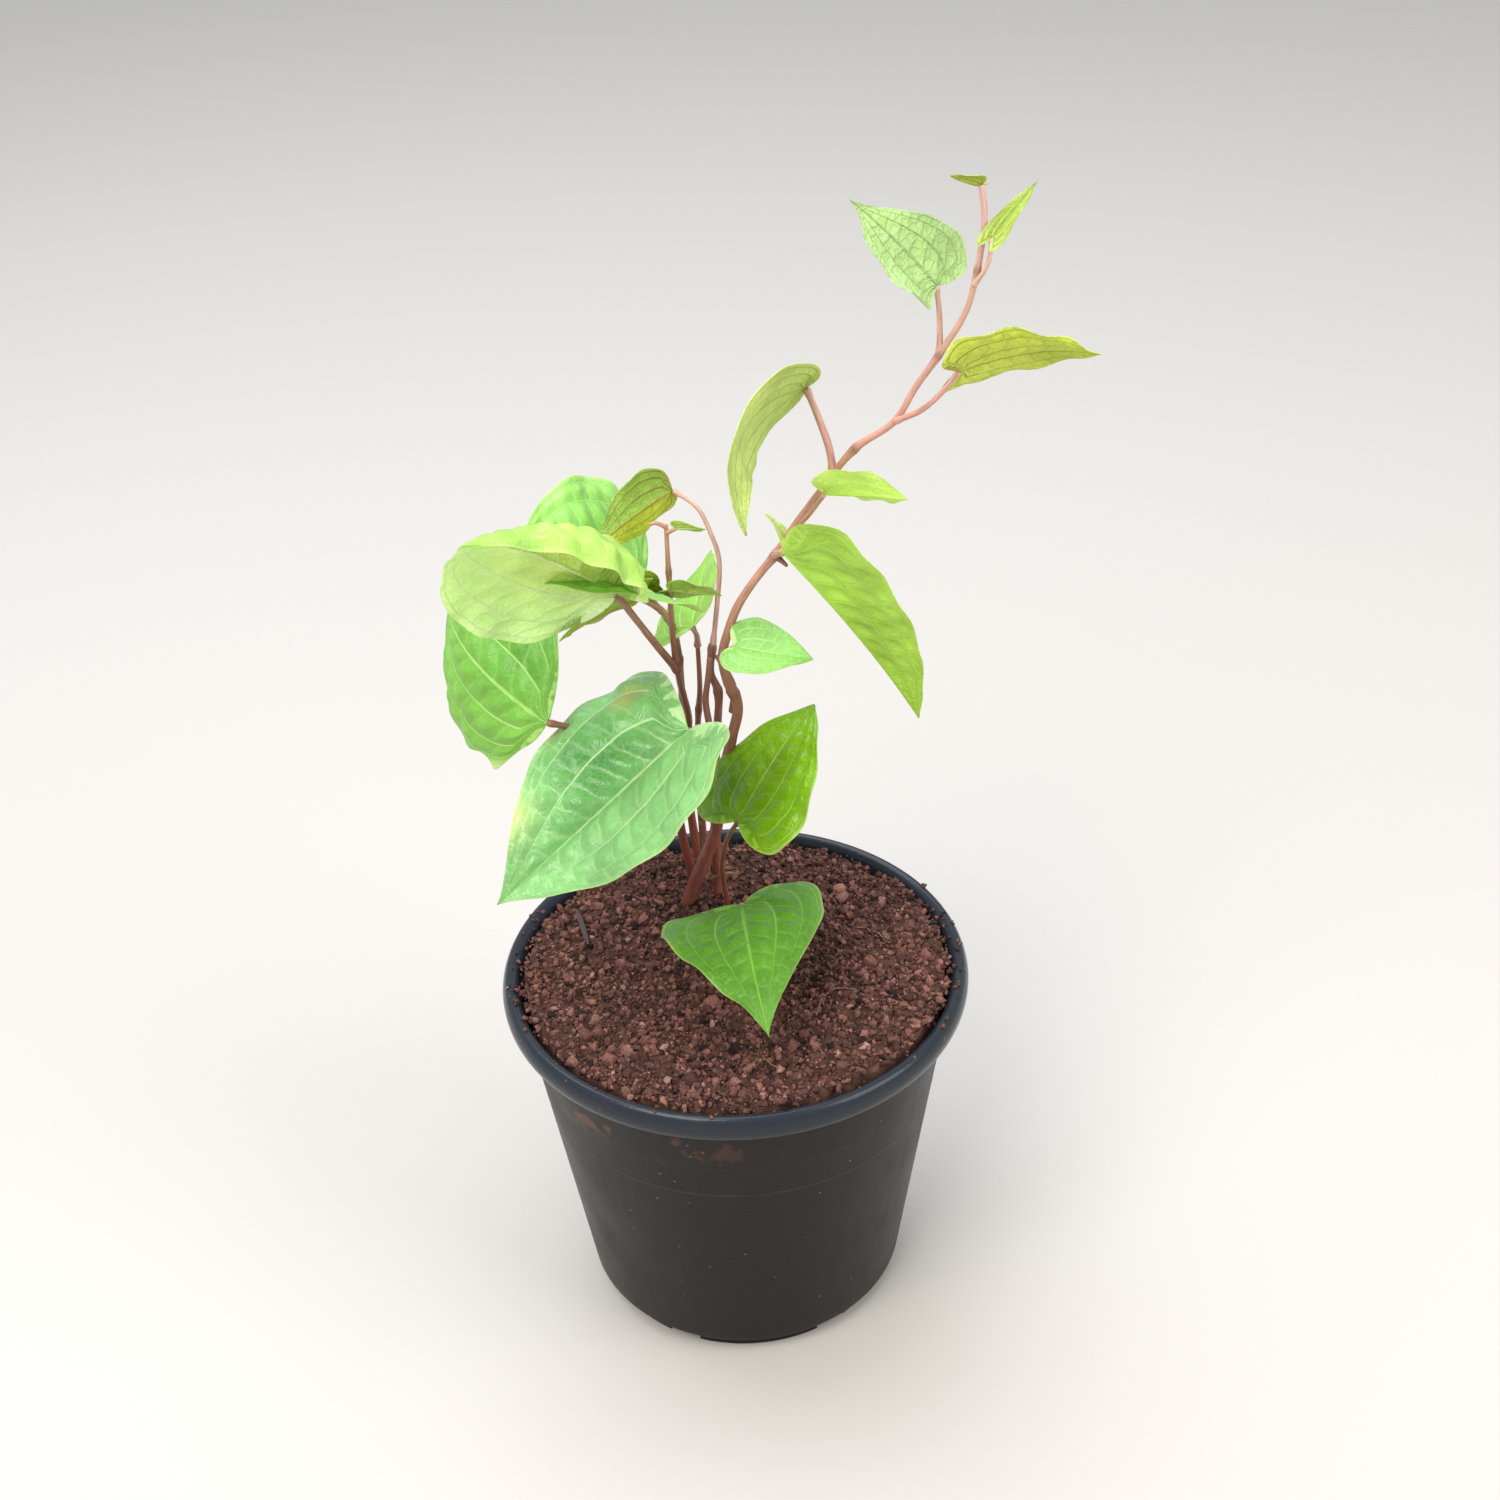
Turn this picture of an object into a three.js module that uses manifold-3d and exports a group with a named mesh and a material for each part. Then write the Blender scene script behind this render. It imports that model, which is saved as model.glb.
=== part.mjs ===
// Potted betel plant: a round nursery pot filled with soil, a clump of climbing
// stems, and twenty heart-shaped leaf blades on their petioles.
// Millimetres, +Z up, the pot stands on z = 0 and the plant leans towards +X.
import * as THREE from 'three';
import { mergeVertices } from 'three/addons/utils/BufferGeometryUtils.js';
import Module from 'manifold-3d';

const wasm = await Module();
wasm.setup();

// ---- driving dimensions ----
const potHeight = 124.7;
const rimRadius = 75;
const lipDepth = 8;          // height of the rolled rim
const wallTopRadius = 68.8;  // outside, just under the rim
const wallFootRadius = 53.1; // outside, at the foot
const footHeight = 6;
const footRadius = 49.1;
const wallThickness = 1.6;
const collarDepth = 27;      // lowest edge of the slightly thicker band under the rim
const drainHoles = 6;
const drainRadius = 4.5;
const drainCircle = 32;
const footNotches = 6;
const notchWidth = 11;
const soilBottom = 8.3;
const soilCrown = 124.6;     // soil height at the middle
const soilEdge = 122.8;      // soil height at the rim
const soilTilt = 1.1;        // the soil is heaped towards the front right
const bladeThickness = 0.6;
const gap = 0.3;             // clearance between touching pieces

const deg = Math.PI / 180;
const group = new THREE.Group();
const plant = new THREE.Group();
group.add(plant);

// ---- colours ----
const plasticBlack = { color: 0x23262b, roughness: 0.45, metalness: 0 };
const soilBrown = { color: 0x5a382c, roughness: 0.98, metalness: 0 };
const stemBrown = { color: 0x8a5a44, roughness: 0.6, metalness: 0 };
const stemPink = { color: 0xb98072, roughness: 0.55, metalness: 0 };
const rootTan = { color: 0xb09a68, roughness: 0.8, metalness: 0 };
const leafBright = { color: 0x8fbf45, roughness: 0.4, metalness: 0 };
const leafMid = { color: 0x5f9a3c, roughness: 0.38, metalness: 0 };
const leafDeep = { color: 0x4f7f2a, roughness: 0.3, metalness: 0 };

// ---- closed meshes and booleans ----
function cleanGeometry(source) {
  const bare = source.clone();
  bare.deleteAttribute('normal');
  bare.deleteAttribute('uv');
  const merged = mergeVertices(bare, 1e-4);
  const index = merged.index.array;
  const kept = [];
  for (let i = 0; i < index.length; i += 3) {
    const a = index[i], b = index[i + 1], c = index[i + 2];
    if (a !== b && b !== c && c !== a) kept.push(a, b, c);
  }
  merged.setIndex(kept);
  return merged;
}

function toSolid(geometry) {
  const g = cleanGeometry(geometry);
  return new wasm.Manifold(new wasm.Mesh({
    numProp: 3,
    vertProperties: new Float32Array(g.attributes.position.array),
    triVerts: new Uint32Array(g.index.array),
  }));
}

function toGeometry(solid) {
  const mesh = solid.getMesh();
  const g = new THREE.BufferGeometry();
  g.setAttribute('position', new THREE.BufferAttribute(new Float32Array(mesh.vertProperties), 3));
  g.setIndex(Array.from(mesh.triVerts));
  g.computeVertexNormals();
  return g;
}

function largestPiece(solid) {
  const pieces = solid.decompose();
  pieces.sort((a, b) => b.volume() - a.volume());
  return pieces[0];
}

function boxesMeet(a, b) {
  const p = a.boundingBox(), q = b.boundingBox();
  return [0, 1, 2].every((k) => p.min[k] <= q.max[k] && q.min[k] <= p.max[k]);
}

// Cuts the solid clear of each neighbour and keeps its main body.
function clearOf(solid, neighbours) {
  let result = solid;
  for (const other of neighbours) {
    if (boxesMeet(result, other)) result = result.subtract(other);
  }
  return largestPiece(result);
}

function addNode(name, solid, look) {
  const mesh = new THREE.Mesh(toGeometry(solid), new THREE.MeshStandardMaterial(look));
  mesh.name = name;
  plant.add(mesh);
}

// ---- stems: a cylinder bent along a smooth curve, thicker at its nodes ----
function stemSolid(spec, extra) {
  const curve = new THREE.CatmullRomCurve3(spec.path.map((p) => new THREE.Vector3(...p)), false, 'centripetal');
  const steps = spec.steps;
  const frames = curve.computeFrenetFrames(steps, false);
  const g = new THREE.CylinderGeometry(1, 1, 1, spec.sides ?? 8, steps, false);
  const pos = g.attributes.position;
  for (let i = 0; i < pos.count; i++) {
    const row = Math.round((pos.getY(i) + 0.5) * steps);
    const t = row / steps;
    let radius = spec.radius[1] + (spec.radius[0] - spec.radius[1]) * (1 - t) ** (spec.fall ?? 1) + extra;
    for (const node of spec.nodes ?? []) radius *= 1 + 0.25 * Math.exp(-(((t - node) / 0.018) ** 2));
    const p = curve.getPointAt(t);
    p.addScaledVector(frames.binormals[row], pos.getX(i) * radius);
    p.addScaledVector(frames.normals[row], pos.getZ(i) * radius);
    if (row === 0) p.addScaledVector(frames.tangents[row], -extra);
    if (row === steps) p.addScaledVector(frames.tangents[row], extra);
    pos.setXYZ(i, p.x, p.y, p.z);
  }
  return toSolid(g);
}

// ---- leaf blades ----
// u runs from the petiole (0) to the tip (1), v across the blade (-1 to 1).
// The lobes reach back past the petiole by lobe * sqrt(u) * (1 - u)^2 of the length.
function bladePoint(spec, u, v) {
  const a = Math.abs(v);
  const side = v >= 0 ? 1 : -1;
  const peakAt = 0.6 / (0.6 + spec.taper);
  const peak = peakAt ** 0.6 * (1 - peakAt) ** spec.taper;
  const halfWidth = spec.width / 2;
  const lobe = side > 0 ? spec.lobeLeft : spec.lobeRight;
  const t = u - a ** 1.6 * lobe * Math.sqrt(u) * (1 - u) ** 2;
  const s = a * u ** 0.6 * (1 - u) ** spec.taper / peak;
  // each half leaves the midrib at its fold angle and bends on across the blade
  const fold = (side > 0 ? spec.foldLeft : spec.foldRight) * deg;
  let bend = (side > 0 ? spec.bendLeft : spec.bendRight) * deg;
  if (Math.abs(bend) < 0.01) bend = 0.01;
  // a rolled half turns by its full bend at every point along the midrib, so its curl narrows with the blade
  const reach = spec.rolledLeft && side > 0 ? Math.max(s / Math.max(a, 1e-6), 1e-3) : 1;
  let y = side * halfWidth * reach * (Math.sin(fold + bend * s / reach) - Math.sin(fold)) / bend;
  let z = -halfWidth * reach * (Math.cos(fold + bend * s / reach) - Math.cos(fold)) / bend;
  const twist = spec.twist * deg * t;
  [y, z] = [y * Math.cos(twist) - z * Math.sin(twist), y * Math.sin(twist) + z * Math.cos(twist)];
  // the midrib droops along its length, turning by curl degrees at the tip
  const turn = (w) => -spec.curl * deg * Math.sign(w) * Math.abs(w) ** 1.4;
  let mx = 0, mz = 0;
  const parts = 24;
  for (let k = 0; k < parts; k++) {
    const w = t * (k + 0.5) / parts;
    mx += Math.cos(turn(w)) * t / parts;
    mz += Math.sin(turn(w)) * t / parts;
  }
  const angle = turn(t);
  return new THREE.Vector3(spec.length * mx - Math.sin(angle) * z, y, spec.length * mz + Math.cos(angle) * z);
}

function bladeNormal(spec, u, v) {
  const h = 0.01;
  const uu = Math.min(Math.max(u, 0.03), 0.97);
  const du = bladePoint(spec, uu + h, v).sub(bladePoint(spec, uu - h, v));
  const vv = Math.min(Math.max(v, -0.99), 0.99);
  const dv = bladePoint(spec, uu, vv + h).sub(bladePoint(spec, uu, vv - h));
  return du.cross(dv).normalize();
}

function bladeSolid(spec, extra) {
  const [nu, nv] = spec.grid ?? [8, 6];
  const grown = { ...spec, length: spec.length + 2 * extra, width: spec.width + 2 * extra };
  const half = bladeThickness / 2 + extra;
  const g = new THREE.BoxGeometry(1, 1, 1, nu, nv, 1);
  const pos = g.attributes.position;
  const place = new THREE.Matrix4().makeRotationZ(spec.heading * deg)
    .multiply(new THREE.Matrix4().makeRotationY(-spec.pitch * deg))
    .multiply(new THREE.Matrix4().makeRotationX(spec.roll * deg));
  const base = new THREE.Vector3(...spec.base);
  for (let i = 0; i < pos.count; i++) {
    const u = Math.min(Math.max(pos.getX(i) + 0.5, 0), 1) ** 1.4;
    const v = Math.min(Math.max(2 * pos.getY(i), -1), 1);
    const pole = u < 1e-9 || u > 1 - 1e-9;
    const p = bladePoint(grown, u, pole ? 0 : v);
    p.x -= extra;
    p.addScaledVector(bladeNormal(spec, u, pole ? 0 : v), 2 * pos.getZ(i) * half);
    p.applyMatrix4(place).add(base);
    pos.setXYZ(i, p.x, p.y, p.z);
  }
  return toSolid(g);
}

// ---- stems of the clump, from under the soil to their tips ----
const stems = {
  vine_main: { radius: [2.5, 0.9], fall: 1.6, steps: 44, nodes: [0.36, 0.55, 0.7, 0.83, 0.92], look: stemBrown,
    path: [[-19, 34, 108], [-15, 33, 125], [-9, 32, 142], [-5, 31, 154], [-2, 29, 176], [2, 27, 194], [4, 26, 206],
      [1, 25, 216], [0, 24, 225], [2, 23, 234], [5, 22, 243], [11, 20, 254], [17, 18, 263], [23, 17, 273],
      [30, 15, 284], [40, 12, 299], [51, 10, 308], [57, 9, 319], [63, 7, 329], [70, 6, 342], [73, 5, 357],
      [74, 5, 368], [73, 5, 375]] },
  vine_centre: { radius: [1.7, 1.1], steps: 18, nodes: [0.84, 0.98], look: stemBrown,
    path: [[-5, 37, 110], [-5, 37, 143], [-5, 37, 163], [-3, 36, 189], [-2, 34, 206], [-4, 34, 213], [-3, 34, 224]] },
  vine_left: { radius: [1.7, 0.65], steps: 20, nodes: [0.68, 0.9], look: stemBrown,
    path: [[-13, 48, 110], [-14, 47, 126], [-17, 46, 149], [-15, 44, 170], [-12, 42, 190], [-13, 38, 202],
      [-14, 33, 212], [-15, 29, 228], [-15, 25, 249], [-15, 24, 271]] },
  vine_back: { radius: [1.6, 1.1], steps: 14, nodes: [0.75], look: stemBrown,
    path: [[-8, 50, 110], [-9, 50, 125], [-10, 49, 170], [-9, 47, 189], [-8, 45, 200], [-8, 44, 219]] },
  vine_rear: { radius: [1.6, 1.1], steps: 18, nodes: [0.8, 0.97], look: stemBrown,
    path: [[-11, 58, 110], [-12, 58, 125], [-14, 57, 152], [-14, 54, 182], [-14, 50, 200], [-14, 44, 212],
      [-15, 39, 226], [-18, 34, 236]] },
  strand_inner: { radius: [1.1, 0.9], steps: 7, sides: 6, look: stemBrown,
    path: [[-5, 28, 196], [-6, 29, 206], [-5, 30, 213], [-4, 32, 220]] },
  strand_outer: { radius: [1.1, 0.9], steps: 6, sides: 6, look: stemBrown,
    path: [[2, 34, 198], [3, 32, 208], [1, 31, 215], [-2, 33, 220]] },
};

// ---- blades, each with the stalk that carries it ----
const leaves = {
  leaf_front_large: { base: [-11, 0, 214], heading: 201, pitch: -36, roll: -14, length: 79, width: 79, grid: [10, 8],
    foldLeft: 28, foldRight: 22, bendLeft: 3, bendRight: -70, curl: -2, twist: -41,
    lobeLeft: 0.93, lobeRight: 0.58, taper: 1.37,
    look: leafMid, stalk: [[-3, 36, 187], [-8, 22, 194], [-11, 8, 205]] },
  leaf_front_right: { base: [3, 0, 180], heading: 46, pitch: 42, roll: -10, length: 44, width: 49,
    foldLeft: 3, foldRight: 5, bendLeft: -16, bendRight: -11, curl: 14, twist: -1,
    lobeLeft: 0.75, lobeRight: 0.87, taper: 1.12,
    look: leafDeep, stalk: [[-2, 30, 112], [-2, 29, 126], [-3, 22, 145], [-1, 11, 165]] },
  leaf_over_soil: { base: [3, -6, 152], heading: 273, pitch: 11, roll: 14, length: 60, width: 53,
    foldLeft: 7, foldRight: -4, bendLeft: -50, bendRight: 10, curl: 38, twist: -20,
    lobeLeft: 1.11, lobeRight: 0.75, taper: 1.52,
    look: leafMid, stalk: [[4, 9, 112], [5, 6, 128], [5, 0, 142]] },
  leaf_left_lower: { base: [-54, 10, 212], heading: 150, pitch: 24, roll: -75, length: 67, width: 58,
    foldLeft: 4, foldRight: -9, bendLeft: -23, bendRight: -31, curl: 69, twist: -13,
    lobeLeft: 0.05, lobeRight: -0.1, taper: 1.05,
    look: leafMid, stalk: [[-13, 43, 186], [-27, 36, 193], [-43, 20, 203]] },
  leaf_left_large: { base: [-30, 8, 257], heading: 211, pitch: 43, roll: 72.7, length: 77, width: 75.4, grid: [12, 14],
    foldLeft: 2.2, foldRight: 25, bendLeft: -128.6, bendRight: -16.2, curl: 44.4, twist: 16.3, rolledLeft: true,
    lobeLeft: 0.03, lobeRight: 0.53, taper: 1.14,
    look: leafBright, stalk: [[-14, 32, 215], [-22, 21, 235]] },
  leaf_back: { base: [-24, 30, 246], heading: 216, pitch: 41, roll: -24, length: 45, width: 70,
    foldLeft: 28, foldRight: 31, bendLeft: 13, bendRight: -28, curl: 46, twist: -6,
    lobeLeft: 0.55, lobeRight: 0.55, taper: 0.94,
    look: leafMid, stalk: [[-18, 35, 235], [-21, 32, 241]] },
  leaf_left_under: { base: [-24, 26, 245], heading: 205, pitch: -7, roll: 49, length: 29, width: 32, grid: [7, 6],
    foldLeft: 9, foldRight: 14, bendLeft: -9, bendRight: -2, curl: 16, twist: 2,
    lobeLeft: 0.8, lobeRight: 0.8, taper: 1.25,
    look: leafBright, stalk: [[-15, 38, 228], [-19, 31, 238]] },
  leaf_upper_mid: { base: [-13, 40, 274], heading: 216, pitch: -14, roll: 95, length: 31, width: 23,
    foldLeft: 9, foldRight: 21, bendLeft: -32, bendRight: 32, curl: 15, twist: 30,
    lobeLeft: 0.23, lobeRight: 0.61, taper: 1.25,
    look: leafBright, stalk: [[-3, 34, 223], [-1, 35, 238], [0, 36, 252], [-2, 37, 260], [-6, 38, 269]] },
  leaf_centre: { base: [-9, 35, 229], heading: 84, pitch: 6, roll: -37, length: 45, width: 33, grid: [7, 6],
    foldLeft: 15, foldRight: 22, bendLeft: -17, bendRight: 1, curl: 7, twist: -15,
    lobeLeft: 0.59, lobeRight: 0.46, taper: 1.38,
    look: leafBright, stalk: [[-3, 34, 222], [-6, 33, 226]] },
  leaf_narrow: { base: [-15, 20, 251], heading: 22, pitch: -20, roll: -52, length: 18, width: 13, grid: [6, 4],
    foldLeft: 22, foldRight: 14, bendLeft: -27, bendRight: -31, curl: 0, twist: 2,
    lobeLeft: 1, lobeRight: 1, taper: 1.25,
    look: leafBright, stalk: [[-15, 25, 247]] },
  leaf_round_small: { base: [-18, 23, 251], heading: 160, pitch: -10, roll: 61, length: 9, width: 14, grid: [6, 4],
    foldLeft: 13, foldRight: -3, bendLeft: -18, bendRight: -15, curl: 18, twist: 0,
    lobeLeft: 1, lobeRight: 1, taper: 1.24,
    look: leafBright },
  leaf_rolled_tiny: { base: [-12, 21, 271], heading: 349, pitch: 2, roll: -60, length: 9, width: 7, grid: [5, 4],
    foldLeft: 29, foldRight: 16, bendLeft: -14, bendRight: -28, curl: 2, twist: 0,
    lobeLeft: 1, lobeRight: 1, taper: 1.25,
    look: leafBright, stalk: [[-15, 24, 268]] },
  leaf_lower_small: { base: [4, 14, 234], heading: 339, pitch: 0, roll: -7, length: 25, width: 22, grid: [7, 6],
    foldLeft: 28, foldRight: 4, bendLeft: 13, bendRight: -40, curl: 0, twist: 18,
    lobeLeft: 0.87, lobeRight: 0.73, taper: 1.2,
    look: leafBright, stalk: [[0, 24, 224], [2, 19, 230]] },
  leaf_mid_large: { base: [19, 8, 269], heading: 19, pitch: -54, roll: 9, length: 82, width: 59,
    foldLeft: 13, foldRight: 51, bendLeft: -36, bendRight: -11, curl: 8, twist: 6,
    lobeLeft: 0.42, lobeRight: 0.89, taper: 1.22,
    look: leafBright, stalk: [[17, 18, 263]] },
  leaf_mid_small: { base: [31, 8, 287], heading: 354, pitch: -2, roll: -31, length: 24, width: 32, grid: [7, 6],
    foldLeft: 14, foldRight: 25, bendLeft: -6, bendRight: -13, curl: 3, twist: -22,
    lobeLeft: 0.13, lobeRight: 0.93, taper: 1.22,
    look: leafBright, stalk: [[24, 17, 273], [27, 12, 279]] },
  leaf_hanging: { base: [27, 26, 312], heading: 229, pitch: 13, roll: 38, length: 69, width: 36,
    foldLeft: -1, foldRight: -15, bendLeft: -8, bendRight: -13, curl: 90, twist: 70,
    lobeLeft: 0.01, lobeRight: 0.43, taper: 1.11,
    look: leafBright, stalk: [[34, 14, 290], [33, 17, 297], [30, 22, 305]] },
  leaf_upper_right: { base: [67, -5, 329], heading: 12, pitch: 14, roll: 127, length: 39, width: 38, grid: [8, 6],
    foldLeft: 12, foldRight: -1, bendLeft: -21, bendRight: -25, curl: -35, twist: -1,
    lobeLeft: 0.93, lobeRight: 0.82, taper: 1.2,
    look: leafBright, stalk: [[51, 10, 308], [58, 4, 314], [64, -2, 323]] },
  leaf_crown_left: { base: [62, 9, 348], heading: 196, pitch: 52, roll: 136, length: 36, width: 38, grid: [8, 6],
    foldLeft: -19, foldRight: 3, bendLeft: 27, bendRight: -65, curl: -14, twist: -22,
    lobeLeft: 1.14, lobeRight: 0, taper: 1.75,
    look: leafBright, stalk: [[63, 7, 329], [63, 9, 340]] },
  leaf_crown_right: { base: [76, 3, 363], heading: 19, pitch: 48, roll: 54, length: 19, width: 7, grid: [6, 4],
    foldLeft: 30, foldRight: 26, bendLeft: -16, bendRight: 11, curl: 19, twist: -11,
    lobeLeft: 1.16, lobeRight: 1.01, taper: 1.31,
    look: leafBright, stalk: [[71.5, 5, 349], [75, 3, 356]] },
  leaf_crown_bud: { base: [73, 5, 376.5], heading: 160, pitch: 5, roll: 40, length: 9, width: 10, grid: [5, 4],
    foldLeft: 24, foldRight: 32, bendLeft: -24, bendRight: -3, curl: -20, twist: 0,
    lobeLeft: 1, lobeRight: 1, taper: 1.25,
    look: leafBright },
};

// ---- thin roots and trash on the soil ----
const roots = {
  aerial_root: { radius: [0.6, 0.4], steps: 6, sides: 6, look: rootTan,
    path: [[-10, 41, 151], [-10, 42, 140], [-9, 43, 118]] },
  base_rootlet: { radius: [0.5, 0.4], steps: 5, sides: 6, look: rootTan,
    path: [[-8, 32, 134], [-2, 31, 137], [2, 33, 135]] },
  twig_left: { radius: [0.7, 0.5], steps: 3, sides: 6, look: stemPink,
    path: [[-15, 24, 270], [-18, 24, 271.5], [-20, 24, 271]] },
};

// ---- build the plant ----
const stemParts = {}, stemSleeves = {};
for (const [name, spec] of Object.entries(stems)) {
  stemParts[name] = clearOf(stemSolid(spec, 0), Object.values(stemSleeves));
  stemSleeves[name] = stemSolid(spec, gap);
  addNode(name, stemParts[name], spec.look);
}

const bladeParts = {}, bladeSleeves = {};
for (const [name, spec] of Object.entries(leaves)) {
  const around = [...Object.values(stemSleeves), ...Object.values(bladeSleeves)];
  bladeParts[name] = clearOf(bladeSolid(spec, 0), around);
  bladeSleeves[name] = bladeSolid(spec, gap);
  addNode(name, bladeParts[name], spec.look);
}

const petioleParts = {}, petioleSleeves = {};
for (const [name, spec] of Object.entries(leaves)) {
  if (!spec.stalk) continue;
  const size = 0.55 + spec.length / 110;
  const path = [...spec.stalk, spec.base];
  let reach = 0;
  for (let i = 1; i < path.length; i++) reach += Math.hypot(...path[i].map((c, k) => c - path[i - 1][k]));
  const stalk = { radius: [size, size * 0.8], sides: 6, steps: Math.max(3, Math.round(reach / 6)), path };
  const around = [...Object.values(stemSleeves), ...Object.values(bladeSleeves), ...Object.values(petioleSleeves)];
  const petiole = name.replace('leaf', 'petiole');
  petioleParts[petiole] = clearOf(stemSolid(stalk, 0), around);
  petioleSleeves[petiole] = stemSolid(stalk, gap);
  addNode(petiole, petioleParts[petiole], stemPink);
}

const rootSleeves = [];
for (const [name, spec] of Object.entries(roots)) {
  const around = [...Object.values(stemSleeves), ...Object.values(bladeSleeves), ...Object.values(petioleSleeves), ...rootSleeves];
  addNode(name, clearOf(stemSolid(spec, 0), around), spec.look);
  rootSleeves.push(stemSolid(spec, gap));
}

// ---- pot ----
function turned(points, segments) {
  const g = new THREE.LatheGeometry(points.map(([r, z]) => new THREE.Vector2(r, z)), segments);
  return g.rotateX(Math.PI / 2);
}
const lipUnder = potHeight - lipDepth;
const collarZ = potHeight - collarDepth;
const wallRadiusAt = (z) => wallFootRadius + (wallTopRadius - wallFootRadius) * (z - footHeight) / (potHeight - 12 - footHeight);
const innerRadiusAt = (z) => wallRadiusAt(z) - wallThickness;
const potProfile = [
  [0, footHeight - 0.6], [footRadius - 2.5, footHeight - 0.6], [footRadius - 2.5, 0], [footRadius, 0],
  [footRadius + 0.4, footHeight], [wallFootRadius, footHeight], [wallRadiusAt(collarZ) - 0.4, collarZ - 1],
  [wallRadiusAt(collarZ) + 0.1, collarZ], [wallRadiusAt(lipUnder), lipUnder], [rimRadius - 1, lipUnder],
  [rimRadius, lipUnder + 1.5], [rimRadius, potHeight - 3.2], [rimRadius - 1.2, potHeight - 0.8],
  [rimRadius - 3, potHeight], [rimRadius - 4.6, potHeight - 0.8], [innerRadiusAt(lipUnder), lipUnder - 2],
  [innerRadiusAt(8), 8], [0, 8],
];
let pot = toSolid(turned(potProfile, 44));
for (let i = 0; i < drainHoles; i++) {
  const a = (i + 0.5) * 2 * Math.PI / drainHoles;
  const hole = new THREE.CylinderGeometry(drainRadius, drainRadius, 10, 10).rotateX(Math.PI / 2)
    .translate(drainCircle * Math.cos(a), drainCircle * Math.sin(a), 7);
  pot = pot.subtract(toSolid(hole));
}
for (let i = 0; i < footNotches; i++) {
  const notch = new THREE.BoxGeometry(8, notchWidth, footHeight - 0.6 + 1).translate(footRadius - 1, 0, (footHeight - 0.6) / 2 - 0.5)
    .rotateZ((i * 360 / footNotches - 56) * deg);
  pot = pot.subtract(toSolid(notch));
}

// ---- soil: fills the pot, slightly crowned, with a socket round each buried stem ----
const soilRadius = (z) => innerRadiusAt(Math.min(z, lipUnder - 2)) - gap;
const soilProfile = [[0, soilBottom], [soilRadius(soilBottom), soilBottom], [soilRadius(60), 60],
  [soilRadius(lipUnder - 2), lipUnder - 2.5], [soilRadius(lipUnder) + 0.4, soilEdge], [50, 123.6], [26, 124.3], [0, soilCrown]];
const soilGeometry = turned(soilProfile, 32);
const soilPos = soilGeometry.attributes.position;
for (let i = 0; i < soilPos.count; i++) {
  const x = soilPos.getX(i), y = soilPos.getY(i), z = soilPos.getZ(i);
  if (z > lipUnder) soilPos.setZ(i, z + soilTilt * (x - y) / 75);
}
let soil = toSolid(soilGeometry);
for (const sleeve of [...Object.values(stemSleeves), ...Object.values(petioleSleeves), ...rootSleeves]) {
  if (boxesMeet(soil, sleeve)) soil = soil.subtract(sleeve);
}
addNode('pot', pot, plasticBlack);
addNode('soil', largestPiece(soil), soilBrown);

// ---- a husk sliver lying on the soil ----
const husk = new THREE.BoxGeometry(1.6, 17, 0.7, 1, 3, 1);
husk.rotateX(1.5 * deg).rotateZ(14 * deg).translate(-50, 20, 124.7);
addNode('husk', toSolid(husk).subtract(soil), rootTan);

// ---- the origin is the middle of the footprint, at the floor ----
plant.updateMatrixWorld(true);
const bounds = new THREE.Box3().setFromObject(plant, true);
const middle = bounds.getCenter(new THREE.Vector3());
plant.position.set(-middle.x, -middle.y, 0);

export default group;
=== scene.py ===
import bpy
import numpy as np
from mathutils import Matrix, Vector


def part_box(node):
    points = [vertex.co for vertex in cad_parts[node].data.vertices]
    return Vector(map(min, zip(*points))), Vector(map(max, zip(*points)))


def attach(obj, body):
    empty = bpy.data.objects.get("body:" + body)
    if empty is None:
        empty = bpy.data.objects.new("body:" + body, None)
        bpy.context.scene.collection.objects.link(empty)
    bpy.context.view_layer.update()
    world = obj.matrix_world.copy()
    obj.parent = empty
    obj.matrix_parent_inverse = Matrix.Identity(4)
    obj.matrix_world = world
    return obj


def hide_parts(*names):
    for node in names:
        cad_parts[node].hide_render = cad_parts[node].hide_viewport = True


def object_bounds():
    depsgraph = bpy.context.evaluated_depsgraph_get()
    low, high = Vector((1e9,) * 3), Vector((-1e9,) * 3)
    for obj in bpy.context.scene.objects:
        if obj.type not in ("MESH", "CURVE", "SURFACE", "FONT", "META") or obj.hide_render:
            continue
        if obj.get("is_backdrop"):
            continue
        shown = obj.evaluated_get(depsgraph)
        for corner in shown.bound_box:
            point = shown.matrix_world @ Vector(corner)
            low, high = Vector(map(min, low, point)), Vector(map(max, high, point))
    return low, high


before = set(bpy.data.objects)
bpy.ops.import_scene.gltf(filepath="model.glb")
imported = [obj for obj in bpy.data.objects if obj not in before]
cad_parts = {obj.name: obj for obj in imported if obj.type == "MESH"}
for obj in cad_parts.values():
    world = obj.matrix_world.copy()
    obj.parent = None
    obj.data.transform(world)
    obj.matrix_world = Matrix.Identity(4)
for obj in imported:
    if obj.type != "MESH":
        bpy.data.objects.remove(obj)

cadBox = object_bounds()
potLow, potHigh = (np.array(corner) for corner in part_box("pot"))
# everything below is given in mm from the pot's axis
potAxis = np.array([(potLow[0] + potHigh[0]) / 2, (potLow[1] + potHigh[1]) / 2, 0.0])
finishedPieces = []


# colour: hex sRGB to linear, each channel through the sRGB curve
def linear(hexColour):
    srgb = np.array([int(hexColour[i:i + 2], 16) for i in (1, 3, 5)]) / 255
    light = np.where(srgb <= 0.04045, srgb / 12.92, ((srgb + 0.055) / 1.055) ** 2.4)
    return (*light.tolist(), 1.0)


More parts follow.
